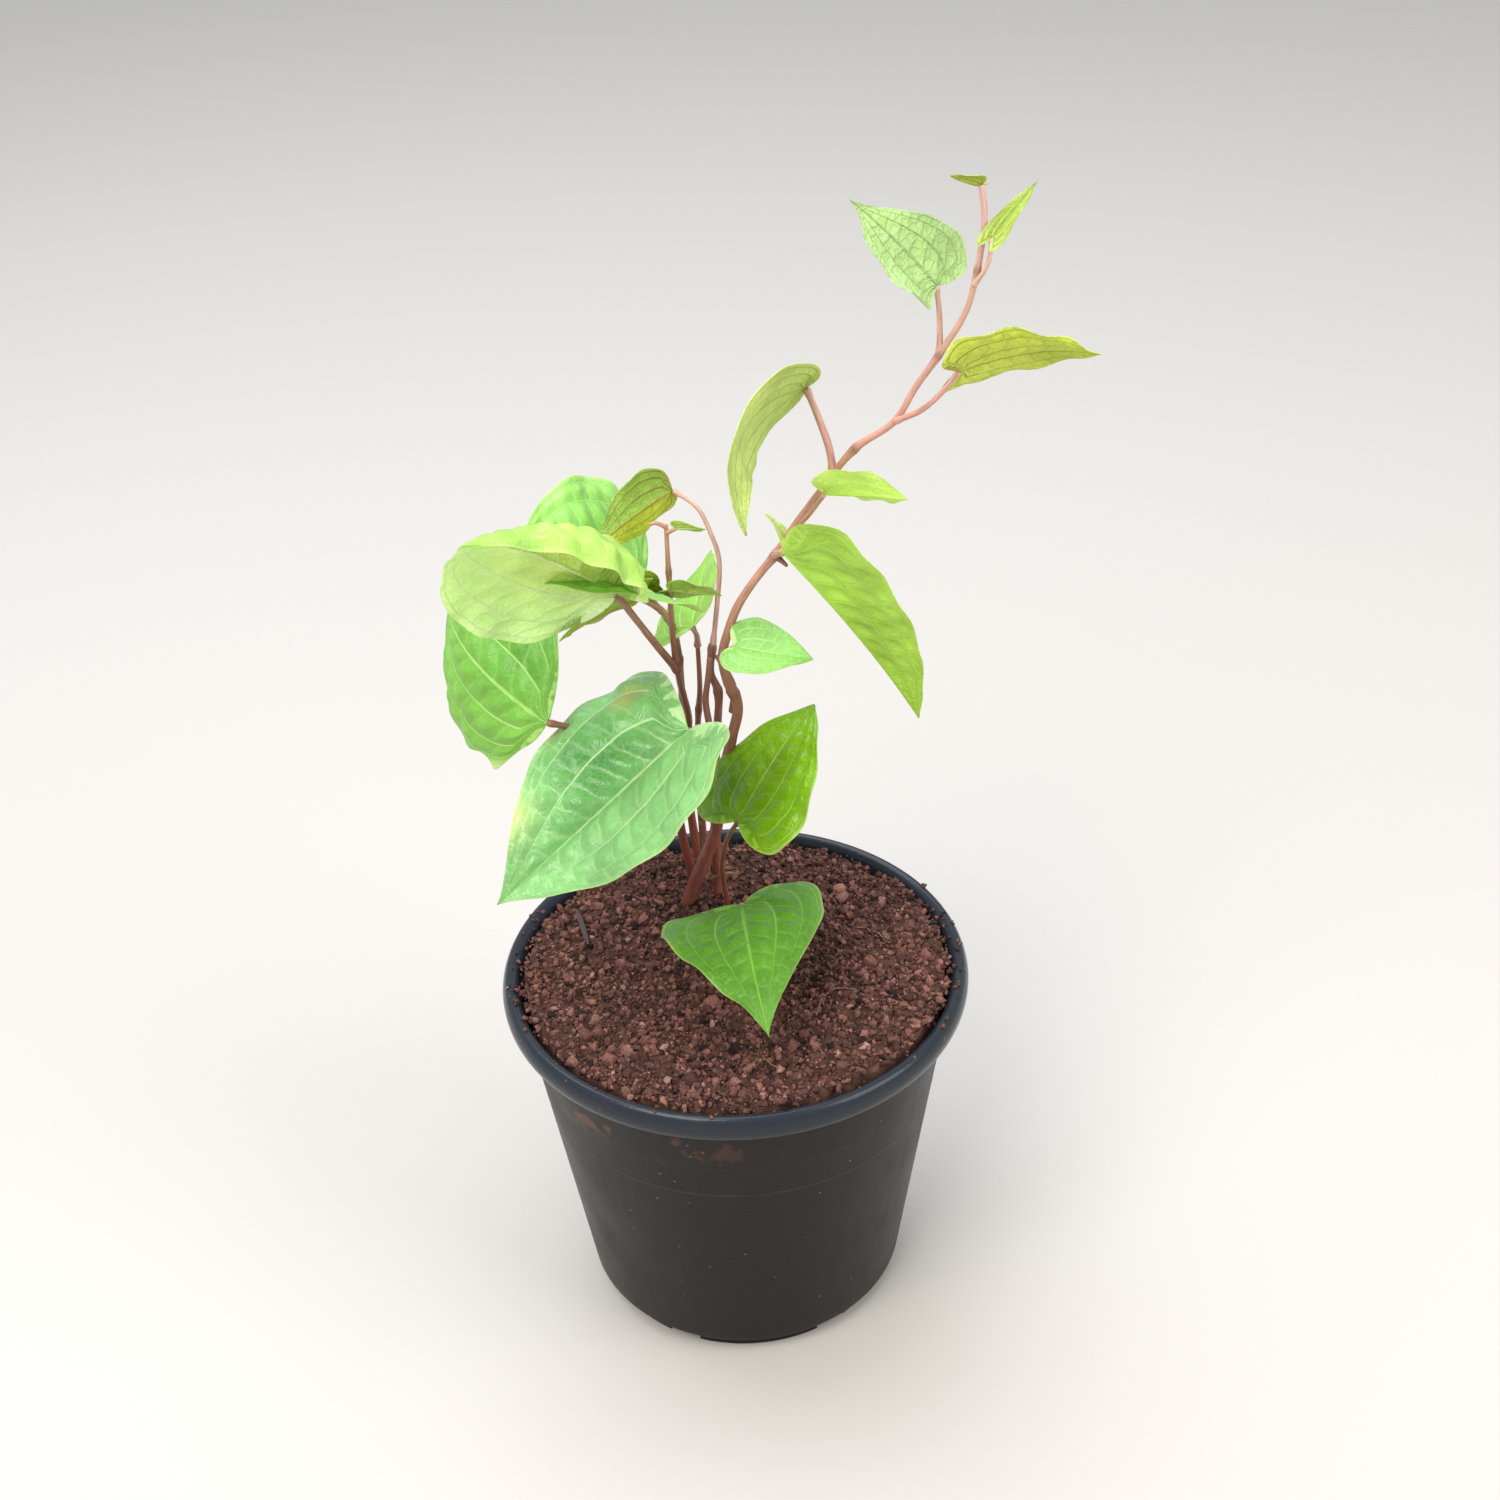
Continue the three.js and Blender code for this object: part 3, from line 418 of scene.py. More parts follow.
# every blade: base in mm is where it meets its petiole; heading, pitch and roll in degrees turn it there;
# length and width in mm; fold, bend and lobe are given for the left half and then the right one;
# twist and curl are degrees over the whole length; nicks are (u, side, depth, width); patches are
# (t, v, radius, colour, share); veins are the vein colours above and below
leaves = {
    "bladeFrontLarge": {"slot": "leaf_mid", "base": (-11, 0, 214), "heading": 201, "pitch": -36, "roll": -14,
        "length": 79, "width": 79, "fold": (28, 22), "bend": (3, -70), "curl": -2, "twist": -41,
        "lobe": (0.93, 0.58), "taper": 1.37, "seed": 1, "quilt": 1.1, "ripple": (0.7, 0.6), "dull": 0.29,
        "top": "#79b16a", "below": "#9ac07a", "veins": ("#c6e2a6", "#c4d6a0"),
        # the two darker green patches are painted shade; the pale yellow and brown patches are the blade's own
        # blotches
        "patches": ((0.34, -0.3, 0.2, "#2f7d2e", 0.8), (0.62, -0.2, 0.1, "#4f964a", 0.4),
                    (0.74, -0.45, 0.1, "#c6d280", 0.85), (0.1, -0.6, 0.06, "#b59a4c", 0.7),
                    (0.42, -0.85, 0.05, "#bb9a5a", 0.6),)},
    "bladeFrontRight": {"slot": "leaf_deep", "base": (3, 0, 180), "heading": 46, "pitch": 42, "roll": -10,
        "length": 44, "width": 49, "fold": (3, 5), "bend": (-16, -11), "curl": 14, "twist": -1,
        "lobe": (0.75, 0.87), "taper": 1.12, "seed": 2, "quilt": 0.8, "ripple": (0.5, 0.7), "dull": 0.25,
        "top": "#6c9c04", "below": "#8eb35a", "veins": ("#a0c040", "#b5c98a"),
        # the darker green patch is painted shade
        "patches": ((0.2, 0.5, 0.3, "#4c7c06", 0.6),)},
    "bladeOverSoil": {"slot": "leaf_mid", "base": (3, -6, 152), "heading": 273, "pitch": 11, "roll": 14,
        "length": 60, "width": 53, "fold": (7, -4), "bend": (-50, 10), "curl": 38, "twist": -20,
        "lobe": (1.11, 0.75), "taper": 1.52, "seed": 3, "quilt": 0.8, "ripple": (0.7, 0.8), "dull": 0.38,
        "nicks": ((0.06, 1, 0.08, 0.03),), "top": "#4c8114", "below": "#93b768",
        "veins": ("#7fae42", "#b9cc90")},
    "bladeLeftLower": {"slot": "leaf_mid", "base": (-54, 10, 212), "heading": 150, "pitch": 24, "roll": -75,
        "length": 67, "width": 58, "fold": (4, -9), "bend": (-23, -31), "curl": 69, "twist": -13,
        "lobe": (0.05, -0.1), "taper": 1.05, "seed": 4, "quilt": 0.8, "ripple": (0.5, 0.8), "dull": 0.42,
        "nicks": ((0.06, 1, 0.12, 0.045), (0.15, 1, -0.15, 0.05), (0.27, 1, 0.06, 0.06)), "top": "#6ca43a",
        "below": "#93b768", "veins": ("#a9d070", "#b9cc90"),
        # the darker green patch is painted shade
        "patches": ((0.3, -0.4, 0.3, "#478a24", 0.6),)},
    "bladeLeftLarge": {"base": (-30, 8, 257), "heading": 211, "pitch": 43, "roll": 72.7, "length": 77,
        "width": 75.4, "fold": (2.2, 25), "bend": (-128.6, -16.2), "curl": 44.4, "twist": 16.3,
        "lobe": (0.03, 0.53), "taper": 1.14, "seed": 5, "quilt": 0.9, "ripple": (1.5, 0.6), "dull": 0.42,
        # painted light: the underside colour is made much paler to stand in for light passing through the
        # blade, and the pale patch lightens the shaded inner part of the rolled half
        "rolledLeft": True, "top": "#90bf50", "below": "#d2fb9c", "veins": ("#b4d468", "#eefcd0"),
        "patches": ((0.25, 0.15, 0.32, "#cfdc66", 0.85),)},
    "bladeBack": {"slot": "leaf_mid", "base": (-24, 30, 246), "heading": 216, "pitch": 41, "roll": -24,
        "length": 45, "width": 70, "fold": (28, 31), "bend": (13, -28), "curl": 46, "twist": -6,
        "lobe": (0.55, 0.55), "taper": 0.94, "seed": 6, "quilt": 0.8, "ripple": (0.6, 0.8), "dull": 0.4,
        "top": "#86bf58", "below": "#a4bf5a", "veins": ("#b3e07c", "#c4cf84")},
    "bladeLeftUnder": {"base": (-24, 26, 245), "heading": 205, "pitch": -7, "roll": 49, "length": 29,
        "width": 32, "fold": (9, 14), "bend": (-9, -2), "curl": 16, "twist": 2, "lobe": (0.8, 0.8),
        "taper": 1.25, "seed": 7, "top": "#93b83c", "below": "#a3b743", "veins": ("#b9cf6a", "#b08a5a")},
    "bladeUpperMid": {"base": (-13, 40, 274), "heading": 216, "pitch": -14, "roll": 95, "length": 31,
        "width": 23, "fold": (9, 21), "bend": (-32, 32), "curl": 15, "twist": 30, "lobe": (0.23, 0.61),
        "taper": 1.25, "seed": 8, "top": "#b0c850", "below": "#bcc238", "veins": ("#b9d080", "#8f6f34"),
        "halfTint": ((1, "#8fae48"),)},
    "bladeCentre": {"base": (-9, 35, 229), "heading": 84, "pitch": 6, "roll": -37, "length": 45, "width": 33,
        "fold": (15, 22), "bend": (-17, 1), "curl": 7, "twist": -15, "lobe": (0.59, 0.46), "taper": 1.38,
        "seed": 9, "top": "#88bd3f", "below": "#a4b856", "veins": ("#bfe07a", "#bfcf84")},
    "bladeNarrow": {"base": (-15, 20, 251), "heading": 22, "pitch": -20, "roll": -52, "length": 18, "width": 13,
        "fold": (22, 14), "bend": (-27, -31), "curl": 0, "twist": 2, "lobe": (1, 1), "taper": 1.25, "seed": 10,
        "top": "#93c043", "below": "#a4b856", "veins": ("#bfe07a", "#bfcf84")},
    "bladeRoundSmall": {"base": (-18, 23, 251), "heading": 160, "pitch": -10, "roll": 61, "length": 9,
        "width": 14, "fold": (13, -3), "bend": (-18, -15), "curl": 18, "twist": 0, "lobe": (1, 1),
        "taper": 1.24, "seed": 11, "top": "#7f9a26", "below": "#8b9a30", "veins": ("#a3b44a", "#a08c50")},
    "bladeRolledTiny": {"base": (-12, 21, 271), "heading": 349, "pitch": 2, "roll": -60, "length": 9,
        "width": 7, "fold": (29, 16), "bend": (-14, -28), "curl": 2, "twist": 0, "lobe": (1, 1), "taper": 1.25,
        "seed": 12, "top": "#8fb83c", "below": "#a0b850", "veins": ("#bfd87a", "#bfcf84")},
    "bladeLowerSmall": {"base": (4, 14, 234), "heading": 339, "pitch": 0, "roll": -7, "length": 25, "width": 22,
        "fold": (28, 4), "bend": (13, -40), "curl": 0, "twist": 18, "lobe": (0.87, 0.73), "taper": 1.2,
        "seed": 13, "top": "#7ab454", "below": "#a8c868", "veins": ("#bfe68c", "#c8d890")},
    "bladeMidLarge": {"base": (19, 8, 269), "heading": 19, "pitch": -54, "roll": 9, "length": 82, "width": 59,
        "fold": (13, 51), "bend": (-36, -11), "curl": 8, "twist": 6, "lobe": (0.42, 0.89), "taper": 1.22,
        "seed": 14, "quilt": 0.7, "ripple": (0.6, 0.6), "flipped": True, "top": "#a6cf50", "below": "#b4cc5c",
        "veins": ("#b6da60", "#c4cf84"),
        "patches": ((0.86, 0.3, 0.1, "#c8d04a", 0.8), (0.6, 0.8, 0.09, "#c4cc48", 0.7),
                    (0.62, -0.1, 0.07, "#8fae2c", 0.6),)},
    "bladeMidSmall": {"base": (31, 8, 287), "heading": 354, "pitch": -2, "roll": -31, "length": 24, "width": 32,
        "fold": (14, 25), "bend": (-6, -13), "curl": 3, "twist": -22, "lobe": (0.13, 0.93), "taper": 1.22,
        "seed": 15, "flipped": True, "top": "#caf470", "below": "#bcd45c", "veins": ("#cdf484", "#bfcf84")},
    "bladeHanging": {"base": (27, 26, 312), "heading": 229, "pitch": 13, "roll": 38, "length": 69, "width": 36,
        "fold": (-1, -15), "bend": (-8, -13), "curl": 90, "twist": 70, "lobe": (0.01, 0.43), "taper": 1.11,
        "seed": 16, "quilt": 0.25, "ripple": (0.15, 0.2), "dull": 0.5, "top": "#a8c858", "below": "#b3c76a",
        "veins": ("#bfd87a", "#9fa84c")},
    "bladeCrownLeft": {"base": (62, 9, 348), "heading": 196, "pitch": 52, "roll": 136, "length": 36,
        "width": 38, "fold": (-19, 3), "bend": (27, -65), "curl": -14, "twist": -22, "lobe": (1.14, 0),
        "taper": 1.75, "seed": 17, "quilt": 0.2, "dull": 0.5, "top": "#a2c27a", "below": "#a2c27a",
        "veins": ("#bfd69a", "#8fa870")},
    "bladeUpperRight": {"base": (67, -5, 329), "heading": 12, "pitch": 14, "roll": 127, "length": 39,
        "width": 38, "fold": (12, -1), "bend": (-21, -25), "curl": -35, "twist": -1, "lobe": (0.93, 0.82),
        "taper": 1.2, "seed": 18, "quilt": 0.4, "ripple": (0.9, 0.5), "dull": 0.48, "flipped": True,
        "top": "#a4c838", "below": "#bacc45", "veins": ("#c8dc70", "#8a6a2c")},
    "bladeCrownRight": {"base": (76, 3, 363), "heading": 19, "pitch": 48, "roll": 54, "length": 19, "width": 7,
        "fold": (30, 26), "bend": (-16, 11), "curl": 19, "twist": -11, "lobe": (1.16, 1.01), "taper": 1.31,
        "seed": 19, "top": "#8ba634", "below": "#9aab44", "veins": ("#c4d078", "#a8805a")},
    "bladeCrownBud": {"base": (73, 5, 376.5), "heading": 160, "pitch": 5, "roll": 40, "length": 9, "width": 10,
        "fold": (24, 32), "bend": (-24, -3), "curl": -20, "twist": 0, "lobe": (1, 1), "taper": 1.25, "seed": 20,
        "top": "#84a82c", "below": "#94a83c", "veins": ("#a8c45a", "#a0884c")},
}
for name, spec in leaves.items():
    makeLeaf(name, {"slot": "leaf_bright", **spec})
print("blades:", len(leaves))


# Herbaceous climbing stem: brown and finely ridged where old, pinkish cream where young, with swollen nodes.
def makeStemMaterial():
    material, tree, shader = newMaterial("herbaceousStemSkin")
    tint = addNode(tree, "Attribute", attribute_name="tint")
    uv = addNode(tree, "UVMap", uv_map="surfaceMap")
    # streaks 0.6 mm wide and 6 mm long
    stretch = addNode(tree, "Mapping", {"Vector": uv, "Scale": (1 / 0.0006, 1 / 0.006, 1)})
    streak = addNode(tree, "TexNoise", {"Vector": stretch, "Scale": 1.0, "Detail": 3})
    blotch = addNode(tree, "TexNoise", {"Vector": uv, "Scale": 1 / 0.007, "Detail": 2})
    tone = addNode(tree, "MapRange", {0: streak, 1: 0.3, 2: 0.7, 3: 0.72, 4: 1.2})
    hue = addNode(tree, "MapRange", {0: blotch, 1: 0.3, 2: 0.7, 3: 0.488, 4: 0.512})
    colour = addNode(tree, "HueSaturation", {"Color": tint, "Hue": hue, "Value": tone})
    bump = addNode(tree, "Bump", {"Height": streak, "Strength": 0.5, "Distance": 0.0003})
    feed(tree, shader, {"Base Color": colour, "Normal": bump, "Roughness": 0.48, "Subsurface Weight": 0.12,
                        "Subsurface Radius": (1.0, 0.5, 0.3), "Subsurface Scale": 0.001})
    return material


# Dry root fibre: matt tan with darker blotches.
def makeRootMaterial():
    material, tree, shader = newMaterial("dryRootFibre")
    place = addNode(tree, "TexCoord")
    blotch = addNode(tree, "TexNoise", {"Vector": place.outputs["Object"], "Scale": 1 / 0.002, "Detail": 2})
    colour = addNode(tree, "Mix", {0: blotch, 6: linear("#4a3024"), 7: linear("#9a7a56")}, data_type="RGBA")
    feed(tree, shader, {"Base Color": colour.outputs[2], "Roughness": 0.8})
    return material


stemMaterial, rootMaterial = makeStemMaterial(), makeRootMaterial()


# a smooth line through the points: a centripetal Catmull-Rom curve, resampled at even arc length
def smoothLine(points, step):
    p = np.array(points, float)
    p = np.concatenate([[2 * p[0] - p[1]], p, [2 * p[-1] - p[-2]]])
    p0, p1, p2, p3 = p[:-3], p[1:-2], p[2:-1], p[3:]
    d0, d1, d2 = (np.linalg.norm(b - a, axis=1)[:, None] ** 0.5 for a, b in ((p0, p1), (p1, p2), (p2, p3)))
    m1 = ((p1 - p0) / d0 - (p2 - p0) / (d0 + d1) + (p2 - p1) / d1) * d1
    m2 = ((p2 - p1) / d1 - (p3 - p1) / (d1 + d2) + (p3 - p2) / d2) * d1
    w = np.linspace(0, 1, 60, endpoint=False)[None, :, None]
    square, cube = -3 * p1 + 3 * p2 - 2 * m1 - m2, 2 * p1 - 2 * p2 + m1 + m2
    line = p1[:, None] + m1[:, None] * w + square[:, None] * w ** 2 + cube[:, None] * w ** 3
    line = np.concatenate([line.reshape(-1, 3), p[-2][None]])
    along = np.concatenate([[0], np.cumsum(np.linalg.norm(np.diff(line, axis=0), axis=1))])
    count = max(6, int(along[-1] / step))
    even = np.linspace(0, along[-1], count)
    return np.stack([np.interp(even, along, line[:, k]) for k in range(3)], -1), even


# rings carried along a line, square to its direction: line[i] + radius[i, j] * (cos j * one + sin j * two)
def carryRings(line, radius):
    forward = np.gradient(line, axis=0)
    forward /= np.linalg.norm(forward, axis=1, keepdims=True)
    guide = np.eye(3)[int(np.argmin(np.abs(line[-1] - line[0])))]   # the axis the line follows least
    one = guide - (forward @ guide)[:, None] * forward
    one /= np.linalg.norm(one, axis=1, keepdims=True)
    two = np.cross(forward, one)
    angle = np.linspace(0, 2 * np.pi, radius.shape[1], endpoint=False)
    around = np.cos(angle)[None, :, None] * one[:, None] + np.sin(angle)[None, :, None] * two[:, None]
    return line[:, None] + radius[..., None] * around


# bark colour by height above the ground in mm, brown below and pinkish cream above
barkTones = {
    "heights": (118, 165, 215, 240, 300, 375),
    "colours": ("#85483a", "#86503f", "#8c5b48", "#b98470", "#c48c7e", "#cda398"),
    "scar": "#5e3a28",
}


# bark colour at height z; a stem with a shift takes the colours from that much higher up
def heightTint(z, shift):
    levels = np.array([linear(c) for c in barkTones["colours"]])
    return np.stack([np.interp(z + shift, barkTones["heights"], levels[:, k]) for k in range(4)], -1)


# a stem: the radius goes from the first to the second value as (1 - t)^fall, swells by a quarter at each
# node with a scar line close above it, has faint ridges, and rounds off at both ends
def makeStem(name, s):
    line, along = smoothLine(s["path"], s.get("step", 0.6))
    t = (along / along[-1])[:, None]
    angle = np.linspace(0, 2 * np.pi, s.get("sides", 24), endpoint=False)[None, :]
    base, tip = s["radius"]
    radius = tip + (base - tip) * (1 - t) ** s.get("fall", 1) + 0 * angle
    for node in s.get("nodes", ()):
        away = (t - node) * along[-1]
        scarRing = 0.1 * np.exp(-((away - 0.8 * np.sin(angle)) / 0.6) ** 2)
        waist = 0.08 * np.exp(-((away - 2.2) / 0.7) ** 2)
        radius = radius * (1 + 0.26 * np.exp(-(away / 3.2) ** 2) + scarRing - waist)
    ridges = s.get("ridges", 0.035)
    broad = 0.6 * ridges * np.cos(3 * angle + along[:, None] / 9)
    radius = radius * (1 + ridges * np.cos(7 * angle + 3 * t) + broad)
    radius = radius * (1 + 0.05 * latticeNoise(along[:, None] + 0 * angle, angle * 2, 5, s["seed"]))
    for end in s.get("swells", ()):
        radius = radius * (1 + 0.3 * np.exp(-((t - end) * along[-1] / 1.8) ** 2))
    toEnd = np.minimum(along, along[-1] - along)[:, None]
    radius = radius * np.sqrt(np.clip(toEnd / (tip * 0.8) + 0.25, 0, 1))
    rings = carryRings(line, radius)
    tint = heightTint(rings[..., 2], s.get("shift", 0))
    if "tip" in s:
        tint = blend(tint, s["tip"], (t ** 2 * 0.8)[..., None])
    scar = np.zeros_like(t)
    for node in s.get("nodes", ()):
        scar = scar + 0.45 * np.exp(-(((t - node) * along[-1]) / 1.6) ** 2)
    tint = blend(tint, barkTones["scar"], np.clip(scar, 0, 0.7)[..., None])
    uv = np.stack([angle * base / 1000 + 0 * t, along[:, None] / 1000 + 0 * angle + s["seed"]], -1)
    material = s.get("material", stemMaterial)
    obj = ringMesh(name, rings, [line[0], line[-1]], material, None, {"tint": tint}, uv, 60)
    declare(obj, s["slot"], *([s["node"]] if "node" in s else []))


# radius in mm at the foot and the tip; nodes are where the swollen joints are, from 0 to 1 along the path
stems = {
    "vineMain": {"radius": (2.5, 0.85), "fall": 2.0, "nodes": (0.36, 0.55, 0.7, 0.83, 0.92), "path": (
        (-19, 34, 108), (-15, 33, 125), (-9, 32, 142), (-5, 31, 154), (-2, 29, 176), (2, 27, 194),
        (4, 26, 206), (1, 25, 216), (0, 24, 225), (2, 23, 234), (5, 22, 243), (11, 20, 254), (17, 18, 263),
        (23, 17, 273), (30, 15, 284), (40, 12, 299), (51, 10, 308), (57, 9, 319), (63, 7, 329),
        (70, 6, 342), (73, 5, 357), (74, 5, 368), (73, 5, 377))},
    "vineCentre": {"radius": (1.7, 1.1), "nodes": (0.84, 0.98), "path": (
        (-5, 37, 110), (-5, 37, 143), (-5, 37, 163), (-3, 36, 189), (-2, 34, 206), (-4, 34, 213),
        (-3, 34, 224))},
    "vineLeft": {"radius": (1.7, 0.65), "nodes": (0.68, 0.9), "shift": -12, "path": (
        (-13, 48, 110), (-14, 47, 126), (-17, 46, 149), (-15, 44, 170), (-12, 42, 190), (-13, 38, 202),
        (-14, 33, 212), (-15, 29, 228), (-15, 25, 249), (-15, 24, 271))},
    "vineBack": {"radius": (1.6, 0.7), "nodes": (0.75,), "path": (
        (-8, 50, 110), (-9, 50, 125), (-10, 49, 170), (-9, 47, 189), (-8, 45, 200), (-8, 44, 219))},
    "vineRear": {"radius": (1.6, 0.9), "nodes": (0.8, 0.97), "path": (
        (-11, 58, 110), (-12, 58, 125), (-14, 57, 152), (-14, 54, 182), (-14, 50, 200), (-14, 44, 212),
        (-15, 39, 226), (-18, 34, 236))},
    "strandInner": {"radius": (1.1, 0.9), "path": (
        (-5, 28, 196), (-6, 29, 206), (-5, 30, 213), (-4, 32, 220))},
    "strandOuter": {"radius": (1.1, 0.9), "path": (
        (2, 34, 198), (3, 32, 208), (1, 31, 215), (-2, 33, 220))},
}
for number, (name, spec) in enumerate(stems.items()):
    makeStem(name, {"slot": "stem", "node": cadNode(name), "seed": 30 + number, **spec})

# each petiole runs from its stem through these points to its blade's base
stalks = {
    "bladeFrontLarge": ((-3, 36, 187), (-8, 22, 194), (-11, 8, 205)),
    "bladeFrontRight": ((-2, 30, 112), (-2, 29, 126), (-3, 22, 145), (-1, 11, 165)),
    "bladeOverSoil": ((4, 9, 112), (5, 6, 128), (5, 0, 142)),
    "bladeLeftLower": ((-13, 43, 186), (-27, 36, 193), (-43, 20, 203)),
    "bladeLeftLarge": ((-14, 32, 215), (-22, 21, 235)),
    "bladeBack": ((-18, 35, 235), (-21, 32, 241)),
    "bladeLeftUnder": ((-15, 38, 228), (-19, 31, 238)),
    "bladeUpperMid": ((-3, 34, 223), (-1, 35, 238), (0, 36, 252), (-2, 37, 260), (-6, 38, 269)),
    "bladeCentre": ((-8, 44, 217), (-8, 40, 223)),
    "bladeNarrow": ((-15, 25, 247),),
    "bladeRolledTiny": ((-15, 24, 268),),
    "bladeLowerSmall": ((0, 24, 224), (2, 19, 230)),
    "bladeMidLarge": ((17, 18, 263),),
    "bladeMidSmall": ((24, 17, 273), (27, 12, 279)),
    "bladeHanging": ((34, 14, 290), (33, 17, 297), (30, 22, 305)),
    "bladeUpperRight": ((51, 10, 308), (58, 4, 314), (64, -2, 323)),
    "bladeCrownLeft": ((63, 7, 329), (63, 9, 340)),
    "bladeCrownRight": ((71.5, 5, 349), (75, 3, 356)),
}
# how much higher up the bark colours are taken from, 20 where nothing is said, and the colour at the blade
petioleShift = {
    "bladeUpperMid": 120, "bladeCentre": 40, "bladeHanging": 10, "bladeCrownLeft": 10, "bladeUpperRight": 0,
    "bladeOverSoil": 60, "bladeLeftLarge": -10, "bladeLeftLower": 10,
}
petioleTip = {
    "bladeLeftLarge": "#93655a", "bladeLeftLower": "#8a5c48", "bladeFrontRight": "#8c6a3c",
    "bladeFrontLarge": "#9c7a58",
}
for number, (blade, stalk) in enumerate(stalks.items()):
    spec = leaves[blade]
    size = 0.55 + spec["length"] / 110
    name = blade.replace("blade", "petiole")
    makeStem(name, {
        "slot": "petiole", "node": cadNode(name), "seed": 50 + number,
        "radius": (size, size * 0.8), "path": (*stalk, spec["base"]), "sides": 16, "step": 0.5,
        "ridges": 0.02, "swells": (0.03, 0.97), "shift": petioleShift.get(blade, 20),
        "tip": petioleTip.get(blade, "#d2a294" if spec["base"][2] > 270 else "#a8a05a"),
    })

smallStems = {
    "aerialRoot": {"slot": "root", "node": "aerial_root", "material": rootMaterial, "seed": 80, "sides": 10,
        "step": 0.5, "radius": (0.6, 0.4), "path": ((-10, 41, 151), (-10, 42, 140), (-9, 43, 118))},
    "baseRootlet": {"slot": "root", "node": "base_rootlet", "material": rootMaterial, "seed": 81, "sides": 10,
        "step": 0.5, "radius": (0.5, 0.4), "path": ((-8, 32, 134), (-2, 31, 137), (2, 33, 135))},
    "twigLeft": {"slot": "petiole", "node": "twig_left", "seed": 84, "sides": 12, "step": 0.4,
        "radius": (0.7, 0.5), "path": ((-15, 24, 270), (-18, 24, 271.5), (-20, 24, 271)), "shift": -25},
    # the dark stub left by a shed bud on the main vine
    "budScar": {"slot": "stem", "seed": 85, "sides": 12, "step": 0.3, "radius": (1.0, 0.5), "shift": -140,
        "path": ((17.5, 16.5, 262.6), (19, 14.6, 262), (20.2, 13.2, 261.4))},
}
for name, spec in smallStems.items():
    makeStem(name, spec)
print("stems:", len(stems), "petioles:", len(stalks))


potShape = {
    "height": 124.7, "rim": 75.0, "lipDepth": 8.0, "wallTop": 68.8, "wallFoot": 53.1, "footHeight": 6.0,
    "foot": 49.1, "wall": 1.6,
    "taperTop": 112.7,       # the wall's outside radius is wallTop here and wallFoot at footHeight
    "collar": 27.0,          # depth of the slightly thicker band below the rim
    "draftLine": 84.6,       # height of the fine line where the wall's draft changes
    "segments": 240, "notches": 6, "notchWidth": 11.0, "notchTurn": -56.0,
}


# outside radius of the wall at height z, a straight line from the foot to the top
def wallRadius(z, s):
    foot, top = s["wallFoot"], s["wallTop"]
    return foot + (top - foot) * (z - s["footHeight"]) / (s["taperTop"] - s["footHeight"])
